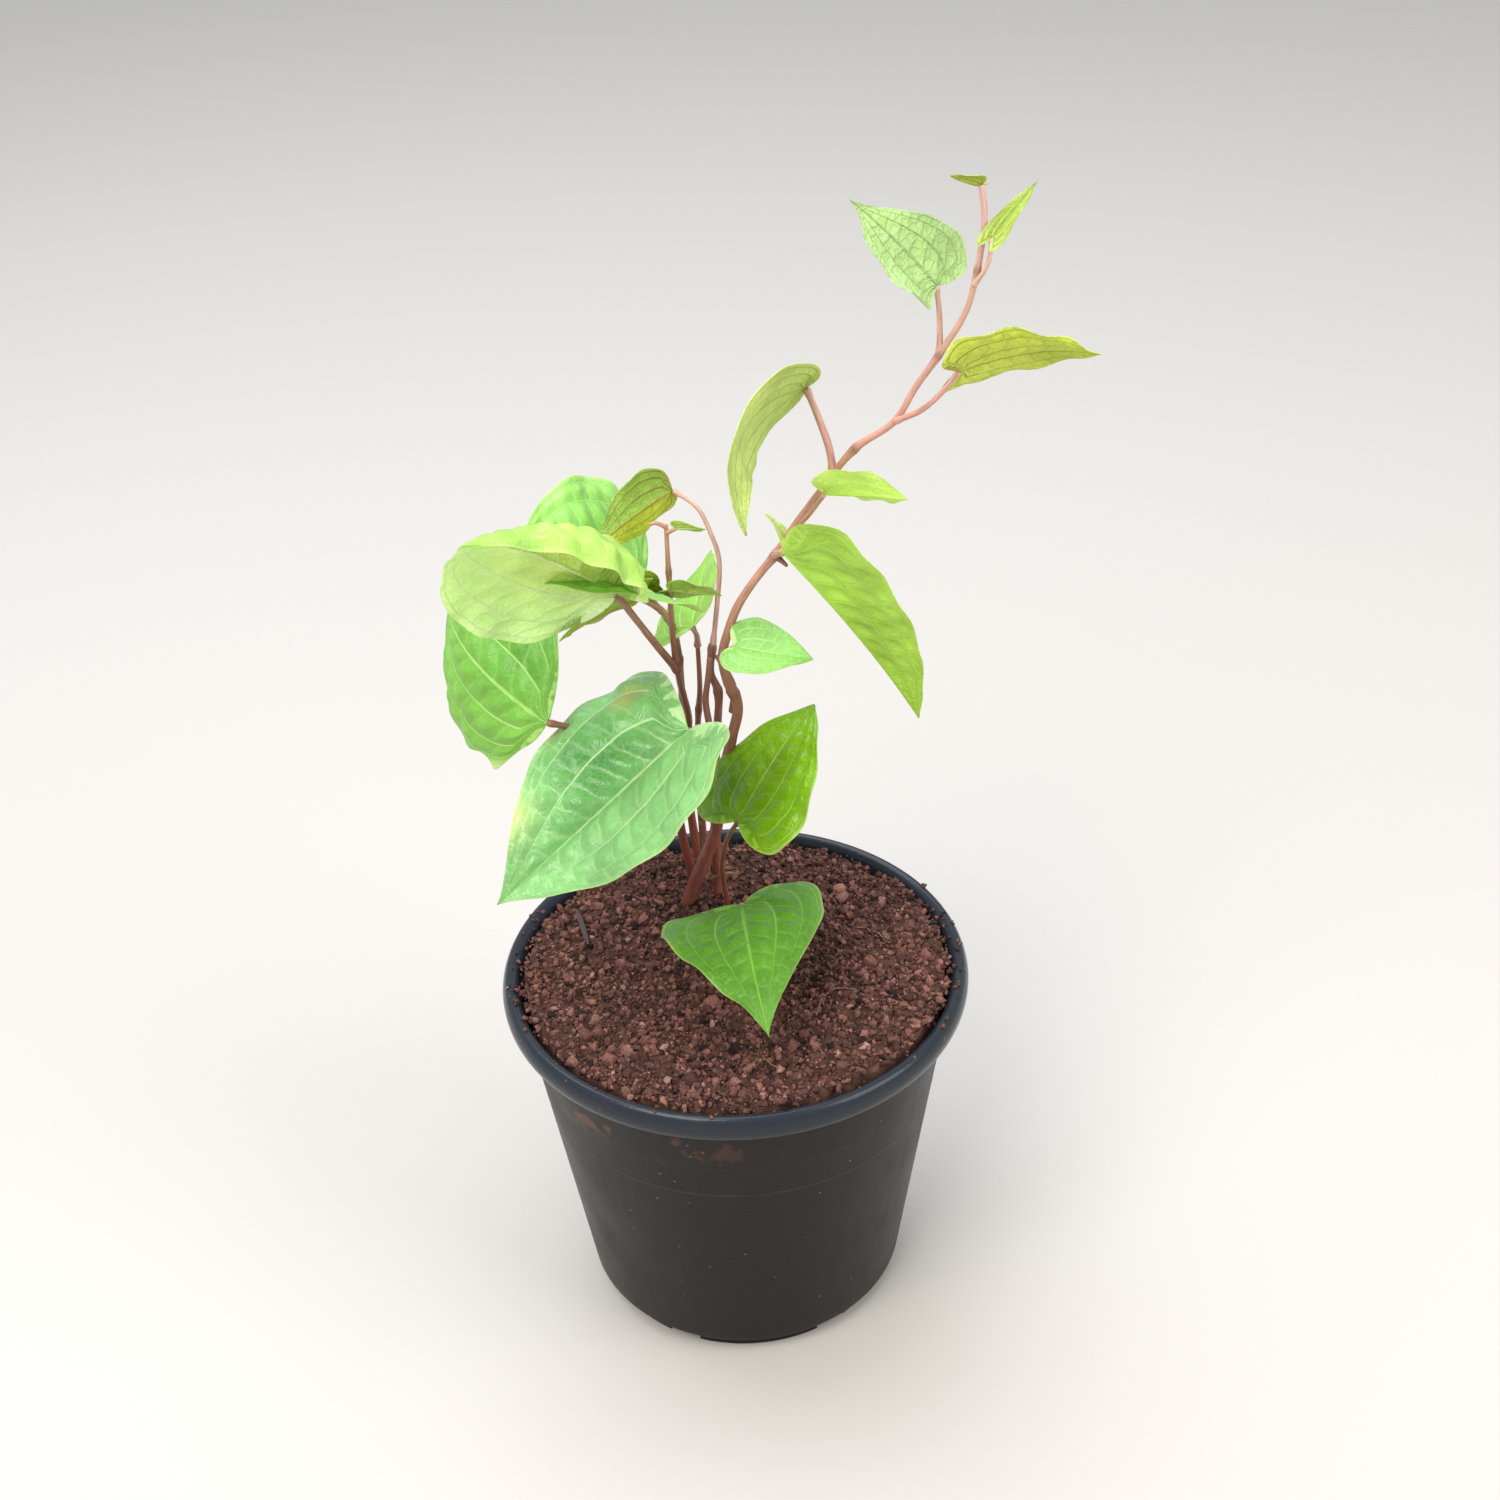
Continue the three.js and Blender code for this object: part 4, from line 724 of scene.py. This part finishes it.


# Injection moulded black polypropylene: a satin skin dusted with dry soil, with soil smears below the
# lip, and a smoother lip free of dust whose lighter bluish grey is a painted reflection of the sky.
def makePotMaterial():
    material, tree, shader = newMaterial("mouldedPolypropylene")
    where = addNode(tree, "TexCoord")
    toAxis = (-potAxis[0], -potAxis[1], 0)
    centred = addNode(tree, "Mapping", {"Vector": where.outputs["Object"], "Location": toAxis})
    axes = addNode(tree, "SeparateXYZ", {"Vector": centred})
    # dust clouds about 22 mm wide
    broad = addNode(tree, "TexNoise", {"Vector": centred, "Scale": 1 / 0.022, "Detail": 4})
    # grain of about 1 mm
    fine = addNode(tree, "TexNoise", {"Vector": centred, "Scale": 1 / 0.0012, "Detail": 3})
    # streaks run down the wall
    squash = addNode(tree, "Mapping", {"Vector": centred, "Scale": (1 / 0.004, 1 / 0.004, 1 / 0.03)})
    streak = addNode(tree, "TexNoise", {"Vector": squash, "Scale": 1.0, "Detail": 3})
    # dust lies on the wall below the lip
    below = addNode(tree, "MapRange", {0: axes.outputs["Z"], 1: 0.112, 2: 0.118, 3: 1, 4: 0.12})
    cloud = addNode(tree, "MapRange", {0: broad, 1: 0.35, 2: 0.75, 3: 0.1, 4: 0.6})
    dustA = addNode(tree, "Math", {0: cloud, 1: below}, operation="MULTIPLY")
    dustB = addNode(tree, "Math", {0: dustA, 1: streak}, operation="MULTIPLY")
    dusty = addNode(tree, "Mix", {0: dustB, 6: linear("#070504"), 7: linear("#2a1d16")}, data_type="RGBA")
    # the lip is free of dust, and its lighter bluish grey #23282f is a painted reflection of the sky on dark
    # plastic
    lip = addNode(tree, "MapRange", {0: axes.outputs["Z"], 1: 0.1155, 2: 0.1175})
    dustyWallAndPaintedLipReflection = addNode(tree, "Mix", {0: lip, 6: dusty.outputs[2], 7: linear("#23282f")}, data_type="RGBA")
    # a pale dusty line where the wall's draft changes
    offLine = addNode(tree, "Math", {0: axes.outputs["Z"], 1: -potShape["draftLine"] / 1000}, operation="ADD")
    offAbs = addNode(tree, "Math", {0: offLine}, operation="ABSOLUTE")
    line = addNode(tree, "MapRange", {0: offAbs, 1: 0.0001, 2: 0.0005, 3: 0.16, 4: 0})
    broken = addNode(tree, "MapRange", {0: broad, 1: 0.42, 2: 0.56})
    lineShare = addNode(tree, "Math", {0: line, 1: broken}, operation="MULTIPLY")
    lined = addNode(tree, "Mix", {0: lineShare, 6: dustyWallAndPaintedLipReflection.outputs[2], 7: linear("#5f554c")}, data_type="RGBA")
    # soil smears on the band under the lip, mostly on the left
    smearNoise = addNode(tree, "TexNoise", {"Vector": centred, "Scale": 1 / 0.011, "Detail": 4,
        "Roughness": 0.6})
    band = addNode(tree, "MapRange", {0: axes.outputs["Z"], 1: 0.094, 2: 0.106})
    leftness = addNode(tree, "MapRange", {0: axes.outputs["X"], 1: 0.02, 2: -0.05, 3: 0, 4: 1})
    smearA = addNode(tree, "MapRange", {0: smearNoise, 1: 0.55, 2: 0.64})
    smearB = addNode(tree, "Math", {0: smearA, 1: band}, operation="MULTIPLY")
    smearC = addNode(tree, "Math", {0: smearB, 1: leftness}, operation="MULTIPLY")
    smearD = addNode(tree, "Math", {0: smearC, 1: below}, operation="MULTIPLY")
    smeared = addNode(tree, "Mix", {0: smearD, 6: lined.outputs[2], 7: linear("#5c3829")}, data_type="RGBA")
    # specks of soil and dried drops, under 1 mm, in cells of 5 mm
    specks = addNode(tree, "TexVoronoi", {"Vector": centred, "Scale": 1 / 0.005})
    dot = addNode(tree, "MapRange", {0: specks, 1: 0.06, 2: 0.11, 3: 0.7, 4: 0})
    pick = addNode(tree, "SeparateColor", {"Color": specks.outputs["Color"]})
    rare = addNode(tree, "Math", {0: pick, 1: 0.62}, operation="GREATER_THAN")
    speck = addNode(tree, "Math", {0: dot, 1: rare}, operation="MULTIPLY")
    colour = addNode(tree, "Mix", {0: speck, 6: smeared.outputs[2], 7: linear("#6b5545")}, data_type="RGBA")
    rough = addNode(tree, "MapRange", {0: dustB, 1: 0, 2: 0.5, 3: 0.36, 4: 0.58})
    # hands and hoses keep the lip smooth
    polished = addNode(tree, "Math", {0: lip, 1: -0.16, 2: rough}, operation="MULTIPLY_ADD")
    heightA = addNode(tree, "Math", {0: fine, 1: 0.4, 2: speck}, operation="MULTIPLY_ADD")
    heightB = addNode(tree, "Math", {0: smearD, 1: 0.7, 2: heightA}, operation="MULTIPLY_ADD")
    bump = addNode(tree, "Bump", {"Height": heightB, "Strength": 0.5, "Distance": 0.0003})
    # the gloss level is low because fine dust dulls the plastic, and 1.49 is polypropylene's index
    feed(tree, shader, {"Base Color": colour.outputs[2], "Roughness": polished, "Normal": bump,
                        "Specular IOR Level": 0.27, "IOR": 1.49})
    return material


# rounds a profile: each corner with a radius becomes the arc (1-w)^2 start + 2w(1-w) corner + w^2 end,
# which starts that far before the corner and ends that far after it
def roundProfile(corners, parts=6):
    p = np.array([c[:2] for c in corners], float)
    out = [p[0][None]]
    for k in range(1, len(p) - 1):
        radius = corners[k][2] if len(corners[k]) > 2 else 0
        if radius == 0:
            out.append(p[k][None])
            continue
        before, after = p[k - 1] - p[k], p[k + 1] - p[k]
        start = p[k] + before * min(0.49, radius / np.linalg.norm(before))
        end = p[k] + after * min(0.49, radius / np.linalg.norm(after))
        w = np.linspace(0, 1, parts)[:, None]
        out.append((1 - w) ** 2 * start + 2 * w * (1 - w) * p[k] + w ** 2 * end)
    out.append(p[-1][None])
    return np.concatenate(out)


# a profile of (radius, height, rounding) carried round the pot's axis, up the outside and down the inside
def makePot(s):
    height, foot, rim = s["height"], s["foot"], s["rim"]
    lipUnder, collar, line = height - s["lipDepth"], height - s["collar"], s["draftLine"]
    floorZ, floorTop = s["footHeight"] - 0.6, 8
    outside = lambda z: wallRadius(z, s)
    inside = lambda z: wallRadius(z, s) - s["wall"]
    corners = [
        (0, floorZ), (foot - 2.5, floorZ, 0.5), (foot - 2.5, 0, 0.5), (foot + 0.1, 0, 0.8),
        (foot + 0.5, s["footHeight"], 0.8), (s["wallFoot"], s["footHeight"], 1.2), (outside(40), 40),
        (outside(line - 0.7), line - 0.7, 0.3), (outside(line) + 0.05, line, 0.4),
        (outside(line + 0.8), line + 0.8, 0.3), (outside(collar) - 0.12, collar - 1, 0.5),
        (outside(collar) + 0.08, collar, 0.6), (outside(lipUnder), lipUnder, 1.0), (rim - 0.8, lipUnder, 0.6),
        (rim - 0.1, lipUnder + 2.0, 1.2), (rim, height - 3.2, 1.6), (rim - 1.4, height - 0.1, 1.8),
        (rim - 3.2, height + 0.1, 1.2), (rim - 5.2, height - 1.6, 1.5), (inside(lipUnder), lipUnder - 2, 2.5),
        (inside(60), 60), (inside(floorTop), floorTop, 2.0), (0, floorTop),
    ]
    profile = roundProfile(corners)
    # longer stretches are divided so that no quad is taller than 4 mm
    steps = np.maximum(1, np.ceil(np.linalg.norm(np.diff(profile, axis=0), axis=1) / 4).astype(int))
    place = np.concatenate([k + np.arange(n) / n for k, n in enumerate(steps)] + [[len(profile) - 1.0]])
    profile = np.stack([np.interp(place, np.arange(len(profile)), column) for column in profile.T], -1)[1:-1]
    angles = np.linspace(0, 360, s["segments"], endpoint=False)
    halfNotch = np.degrees(s["notchWidth"] / 2 / s["foot"])
    centres = np.arange(s["notches"]) * 360 / s["notches"] + s["notchTurn"]
    besides = [side * halfNotch + tiny for side in (-1, 1) for tiny in (-0.05, 0.05)]
    edges = np.concatenate([centres + beside for beside in besides]) % 360
    angles = np.sort(np.concatenate([angles, edges]))
    inNotch = (np.abs((angles[:, None] - centres[None] + 180) % 360 - 180) < halfNotch).any(1)
    a = np.radians(angles)
    r, z = profile[:, :1], profile[:, 1:]
    wobble = 0.12 * np.sin(2 * a + 0.6) * (z / height) ** 3   # a soft rim is never quite round
    z = np.where(inNotch[None, :] & (z < floorZ) & (r > 30), floorZ, z + 0 * a)
    rings = np.stack([(r + wobble) * np.cos(a), (r + wobble) * np.sin(a), z], -1)
    obj = ringMesh("potShell", rings, [(0, 0, floorZ), (0, 0, floorTop)], makePotMaterial(), sharp=35)
    declare(obj, "pot_plastic", "pot")


makePot(potShape)
print("pot done")


soilShape = {
    "bottom": 8.3, "radii": (0, 26, 50, 67.5), "heights": (124.6, 124.3, 123.6, 123.0), "tilt": 1.1,
    "octaves": ((16, 1.1), (6, 1.1), (2.6, 0.9), (1.3, 0.5)),   # lattice cell and height of each layer, mm
    "gap": 0.3,                # between the soil and the inside of the wall, mm
    # the soil between the crumbs: dark partly as its own moist colour and partly as painted shade in the
    # hollows
    "body": ("#2e1b15", "#5e3f33"),
    # colours of the crumbs, and the share of each
    "palette": ("#472c24", "#603f36", "#70493f", "#81584d", "#967064", "#201512"),
    "shares": (0.2, 0.3, 0.28, 0.13, 0.02, 0.07),
    "seed": 7,
}


# Moist red-brown potting soil in crumbs: dull, darker in the hollows, with lighter dry grains.
def makeSoilMaterial():
    material, tree, shader = newMaterial("crumblyPottingSoil")
    where = addNode(tree, "TexCoord")
    tint = addNode(tree, "Attribute", attribute_name="tint")
    # damp and dry patches of 18 mm
    patches = addNode(tree, "TexNoise", {"Vector": where.outputs["Object"], "Scale": 1 / 0.018, "Detail": 3})
    # grains of 0.7 mm
    grains = addNode(tree, "TexNoise", {"Vector": where.outputs["Object"], "Scale": 1 / 0.0007, "Detail": 3})
    tone = addNode(tree, "MapRange", {0: grains, 1: 0.3, 2: 0.7, 3: 0.6, 4: 1.35})
    damp = addNode(tree, "MapRange", {0: patches, 1: 0.35, 2: 0.65, 3: 0.8, 4: 1.15})
    both = addNode(tree, "Math", {0: tone, 1: damp}, operation="MULTIPLY")
    colour = addNode(tree, "HueSaturation", {"Color": tint, "Value": both})
    bump = addNode(tree, "Bump", {"Height": grains, "Strength": 0.8, "Distance": 0.0005})
    feed(tree, shader, {"Base Color": colour, "Normal": bump, "Roughness": 0.92, "Specular IOR Level": 0.3})
    return material


soilMaterial = makeSoilMaterial()


# height of the soil: a low crown by distance from the axis, tilted up towards the front right by
# tilt * (x - y) / 75, plus size * noise for each layer, which fades out towards the wall
def soilHeight(x, y, s):
    height = np.interp(np.hypot(x, y), s["radii"], s["heights"]) + s["tilt"] * (x - y) / 75
    rough = 0
    for n, (cell, size) in enumerate(s["octaves"]):
        rough = rough + size * latticeNoise(x + 300, y + 300, cell, s["seed"] + n)
    return height + rough * np.clip((70.5 - np.hypot(x, y)) / 3, 0, 1)


# the body of soil: four rings up the inside of the wall, then rings drawn in to the middle at soilHeight
def makeSoil(s):
    angles = np.linspace(0, 2 * np.pi, 360, endpoint=False)[None, :]
    sideZ = np.array([s["bottom"], 40, 80, 112])[:, None]
    side = wallRadius(sideZ, potShape) - potShape["wall"] - s["gap"]
    sideRings = np.stack([side * np.cos(angles), side * np.sin(angles), sideZ + 0 * angles], -1)
    r = np.linspace(67.3, 0.5, 110)[:, None]
    x, y = r * np.cos(angles), r * np.sin(angles)
    topRings = np.stack([x, y, soilHeight(x, y, s)], -1)
    rings = np.concatenate([sideRings, topRings])
    shade = np.interp(latticeNoise(rings[..., 0] + 90, rings[..., 1] + 90, 2.0, 3), [-1, 1], [0, 1])[..., None]
    tint = blend(*s["body"], shade)
    ends = [(0, 0, s["bottom"]), tuple(topRings[-1].mean(0))]
    obj = ringMesh("soilBody", rings, ends, soilMaterial, None, {"tint": tint}, sharp=180)
    declare(obj, "soil", "soil")


# many small lumps: an octahedron cut once and blown onto a ball, then stretched, roughened and turned
# for each lump by the matrix of a random unit quaternion
def makeLumps(name, centres, sizes, colours, seed):
    rng = np.random.default_rng(seed)
    octa = np.array([(1, 0, 0), (0, 1, 0), (-1, 0, 0), (0, -1, 0), (0, 0, 1), (0, 0, -1)], float)
    pairs = [(0, 1), (1, 2), (2, 3), (3, 0)] + [(k, tip) for tip in (4, 5) for k in range(4)]
    ball = np.concatenate([octa, np.array([(octa[a] + octa[b]) for a, b in pairs]) / np.sqrt(2)])
    mid = {pair: 6 + n for n, pair in enumerate(pairs)}
    mid.update({(b, a): n for (a, b), n in list(mid.items())})
    faces = []
    for a, b, c in [(0, 1, 4), (1, 2, 4), (2, 3, 4), (3, 0, 4), (1, 0, 5), (2, 1, 5), (3, 2, 5), (0, 3, 5)]:
        ab, bc, ca = mid[a, b], mid[b, c], mid[c, a]
        faces += [(a, ab, ca), (ab, b, bc), (ca, bc, c), (ab, bc, ca)]
    faces = np.array(faces)
    count = len(centres)
    q = rng.normal(size=(count, 4))
    w, x, y, z = (q / np.linalg.norm(q, axis=1, keepdims=True)).T
    turn = np.stack([
        1 - 2 * (y * y + z * z), 2 * (x * y - w * z), 2 * (x * z + w * y),
        2 * (x * y + w * z), 1 - 2 * (x * x + z * z), 2 * (y * z - w * x),
        2 * (x * z - w * y), 2 * (y * z + w * x), 1 - 2 * (x * x + y * y),
    ], -1).reshape(count, 3, 3)
    shape = ball[None] * (1 + 0.28 * rng.normal(size=(count, len(ball), 1))).clip(0.5, 1.6)
    shape = shape * rng.uniform(0.6, 1.15, (count, 1, 3))
    turned = np.einsum("nij,nkj->nki", turn, shape)
    points = turned * (sizes / 2)[:, None, None] + centres[:, None]
    shade = np.clip(0.72 + 0.45 * turned[..., 2:], 0.35, 1.15)   # painted shade: the lower side of each lump is darker, as in a contact shadow
    colours = colours[:, None] * np.concatenate([np.repeat(shade, 3, 2), np.ones_like(shade)], 2)
    points = points.reshape(-1, 3) / 1000 + potAxis
    allFaces = (faces[None] + (np.arange(count) * len(ball))[:, None, None]).reshape(-1, 3)
    mesh = bpy.data.meshes.new(name)
    mesh.from_pydata(points.tolist(), [], allFaces.tolist())
    setPoints(mesh, "tint", "FLOAT_COLOR", "color", colours)
    declare(finishMesh(name, mesh, soilMaterial, 55), "soil")


# a colour of the palette for each lump, drawn by the shares and lightened or darkened by up to a fifth
def crumbColours(count, rng):
    palette = np.array([linear(c) for c in soilShape["palette"]])
    chosen = palette[rng.choice(len(palette), count, p=soilShape["shares"])]
    return chosen * np.concatenate([np.repeat(rng.uniform(0.8, 1.2, (count, 1)), 3, 1), np.ones((count, 1))], 1)


# lumps scattered evenly over the soil: how many, out to which radius, their sizes in mm (the middle and
# spread of a lognormal draw, or an even range), and how high each sits as share * size + lift
lumps = {
    "soilCrumbs": {"count": 5900, "reach": 68.2, "lognormal": (0.5, 0.32), "range": (0.9, 3.4), "share": 0.12,
        "seed": 11},
    "soilGrains": {"count": 5400, "reach": 68.6, "range": (0.5, 1.1), "share": 0.3, "lift": 0.2, "seed": 10},
    "soilClods": {"count": 90, "reach": 64, "range": (2.8, 5.2), "share": 0.05, "seed": 12},
}
# crumbs spilled on the lip: centre and spread of each heap in degrees, its share of the crumbs, and the
# lip's height by radius
spilled = {
    "count": 170, "seed": 13,
    "heaps": ((183, 16), (8, 20), (266, 12), (215, 30), (330, 30)), "shares": (0.28, 0.36, 0.16, 0.1, 0.1),
    "lipRadii": (68, 69.8, 71, 72.5, 73.6, 74.6), "lipHeights": (122.4, 123.3, 124.4, 124.75, 124.6, 123.2),
}


# a lump's distance from the axis is reach * sqrt(random), so that they lie evenly; on the lip it is
# 68.4 + 5.4 * random^2.4, which keeps most of them at the inner edge
def makeCrumbs(s):
    rng = np.random.default_rng(s["seed"])
    for name, lump in lumps.items():
        count = lump["count"]
        radius, angle = lump["reach"] * np.sqrt(rng.random(count)), rng.random(count) * 2 * np.pi
        x, y = radius * np.cos(angle), radius * np.sin(angle)
        if "lognormal" in lump:
            sizes = np.clip(rng.lognormal(*lump["lognormal"], count), *lump["range"])
        else:
            sizes = rng.uniform(*lump["range"], count)
        centres = np.stack([x, y, soilHeight(x, y, s) + sizes * lump["share"] + lump.get("lift", 0)], -1)
        makeLumps(name, centres, sizes, crumbColours(count, rng), lump["seed"])
    count, heaps = spilled["count"], np.array(spilled["heaps"])
    which = rng.choice(len(heaps), count, p=spilled["shares"])
    angle = np.radians(heaps[which, 0] + heaps[which, 1] * rng.normal(size=count))
    radius = 68.4 + 5.4 * rng.random(count) ** 2.4
    height = np.interp(radius, spilled["lipRadii"], spilled["lipHeights"])
    sizes = np.clip(rng.lognormal(0.1, 0.45, count), 0.5, 2.8)
    centres = np.stack([radius * np.cos(angle), radius * np.sin(angle), height + sizes * 0.2], -1)
    makeLumps("spilledCrumbs", centres, sizes, crumbColours(count, rng), spilled["seed"])


makeSoil(soilShape)
makeCrumbs(soilShape)


# thin dead roots lying on the soil, each a short tube bowed by 0.16 * length * cos(5w + number)
litter = {
    "fibreFront": {"at": (30, -22), "length": 17, "turn": 40, "radius": 0.28},
    "fibreRight": {"at": (46, 12), "length": 13, "turn": -25, "radius": 0.25},
    "fibreLeft": {"at": (-38, -10), "length": 11, "turn": 75, "radius": 0.22},
    "fibreNear": {"at": (8, -50), "length": 12, "turn": 160, "radius": 0.24},
}
for number, (name, spec) in enumerate(litter.items()):
    w = np.linspace(-0.5, 0.5, 7)
    bow = 0.16 * spec["length"] * np.cos(w * 5 + number)
    c, d = np.cos(np.radians(spec["turn"])), np.sin(np.radians(spec["turn"]))
    x = spec["at"][0] + w * spec["length"] * c - bow * d
    y = spec["at"][1] + w * spec["length"] * d + bow * c
    path = np.stack([x, y, soilHeight(x, y, soilShape) + 0.9], -1).tolist()
    makeStem(name, {"slot": "root", "seed": 90 + number, "sides": 8, "step": 0.5,
                    "radius": (spec["radius"], spec["radius"] * 0.6), "path": path, "material": rootMaterial})

husk = {"at": (-50, 20, 125.3), "length": 21, "turn": 104, "halfWidth": 0.95}


# Dry husk: a thin curled strip, dark brown with paler fibres along it.
def makeHusk(s):
    material, tree, shader = newMaterial("dryHusk")
    where = addNode(tree, "UVMap", uv_map="surfaceMap")
    stretch = addNode(tree, "Mapping", {"Vector": where, "Scale": (1 / 0.0004, 1 / 0.008, 1)})
    fibre = addNode(tree, "TexNoise", {"Vector": stretch, "Scale": 1.0, "Detail": 2})
    colour = addNode(tree, "Mix", {0: fibre, 6: linear("#120d0b"), 7: linear("#4a382e")}, data_type="RGBA")
    feed(tree, shader, {"Base Color": colour.outputs[2], "Roughness": 0.6})
    # a strip whose cross section is a shallow arc, pinched at both ends
    w, a = np.linspace(0.03, 0.97, 50)[:, None], np.linspace(0, 2 * np.pi, 20, endpoint=False)[None, :]
    width = s["halfWidth"] * np.sin(np.pi * w) ** 0.6
    across = width * np.cos(a)
    lift = 0.22 * np.sin(a) * np.sin(np.pi * w) ** 0.5 + 0.35 * (across / 1.05) ** 2 + 0.8 * (w - 0.5) ** 2
    c, d = np.cos(np.radians(s["turn"])), np.sin(np.radians(s["turn"]))
    run = (w - 0.5) * s["length"]
    x, y, z = s["at"]
    rings = np.stack([x + run * c - across * d, y + run * d + across * c, z + lift + 0 * run], -1)
    uv = np.stack([across / 1000 + 0 * w, run / 1000 + 0 * a], -1)
    obj = ringMesh("huskSliver", rings, [rings[0].mean(0), rings[-1].mean(0)], material, None, None, uv, 60)
    declare(obj, "husk", "husk")


makeHusk(husk)
print("soil done")


studio = {
    "floor": "#bbb6af", "floorHalf": 4.0, "world": "#eaf0f8", "worldStrength": 0.78,
    "aim": 0.2,               # m, the height the lamps point at
    # place, width in m, power in W and colour of each lamp
    "lamps": {
        "overhead": ((-0.25, 0.35, 1.5), 1.3, 22, "#eef4ff"),
        "key": ((-0.7, -1.0, 1.5), 1.0, 28, "#fffaf2"),
        "fill": ((1.2, -0.6, 1.0), 1.0, 15, "#fffdf8"),
    },
}


# floor, even sky light and square lamps, each turned so that its back points away from the aim
def makeStudio(s):
    material, tree, shader = newMaterial("paintedFloor")
    feed(tree, shader, {"Base Color": linear(s["floor"]), "Roughness": 0.7})
    size = s["floorHalf"]
    mesh = bpy.data.meshes.new("floor")
    corners = [(-size, -size, 0), (size, -size, 0), (size, size, 0), (-size, size, 0)]
    mesh.from_pydata(corners, [], [(0, 1, 2, 3)])
    mesh.materials.append(material)
    floor = bpy.data.objects.new("floor", mesh)
    bpy.context.scene.collection.objects.link(floor)
    floor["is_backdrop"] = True
    world = bpy.data.worlds.new("softStudio")
    bpy.context.scene.world = world
    world.use_nodes = True
    background = world.node_tree.nodes["Background"]
    background.inputs["Color"].default_value = linear(s["world"])
    background.inputs["Strength"].default_value = s["worldStrength"]
    for name, (place, width, power, hexColour) in s["lamps"].items():
        data = bpy.data.lights.new(name, "AREA")
        data.size, data.energy, data.color = width, power, linear(hexColour)[:3]
        lamp = bpy.data.objects.new(name, data)
        bpy.context.scene.collection.objects.link(lamp)
        spot = np.array(place) + potAxis
        back = spot - (potAxis + np.array([0.0, 0.0, s["aim"]]))
        back /= np.linalg.norm(back)
        right = np.cross([0, 0, 1.0], back)
        right /= np.linalg.norm(right)
        matrix = np.eye(4)
        matrix[:3, 0], matrix[:3, 1], matrix[:3, 2], matrix[:3, 3] = right, np.cross(back, right), back, spot
        lamp.matrix_world = Matrix(matrix.tolist())
    bpy.context.scene.view_settings.view_transform = "Standard"


makeStudio(studio)

{"cad": [list(map(float, corner)) for corner in cadBox], "visual": [list(map(float, corner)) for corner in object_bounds()]}
print("pieces:", len(finishedPieces))
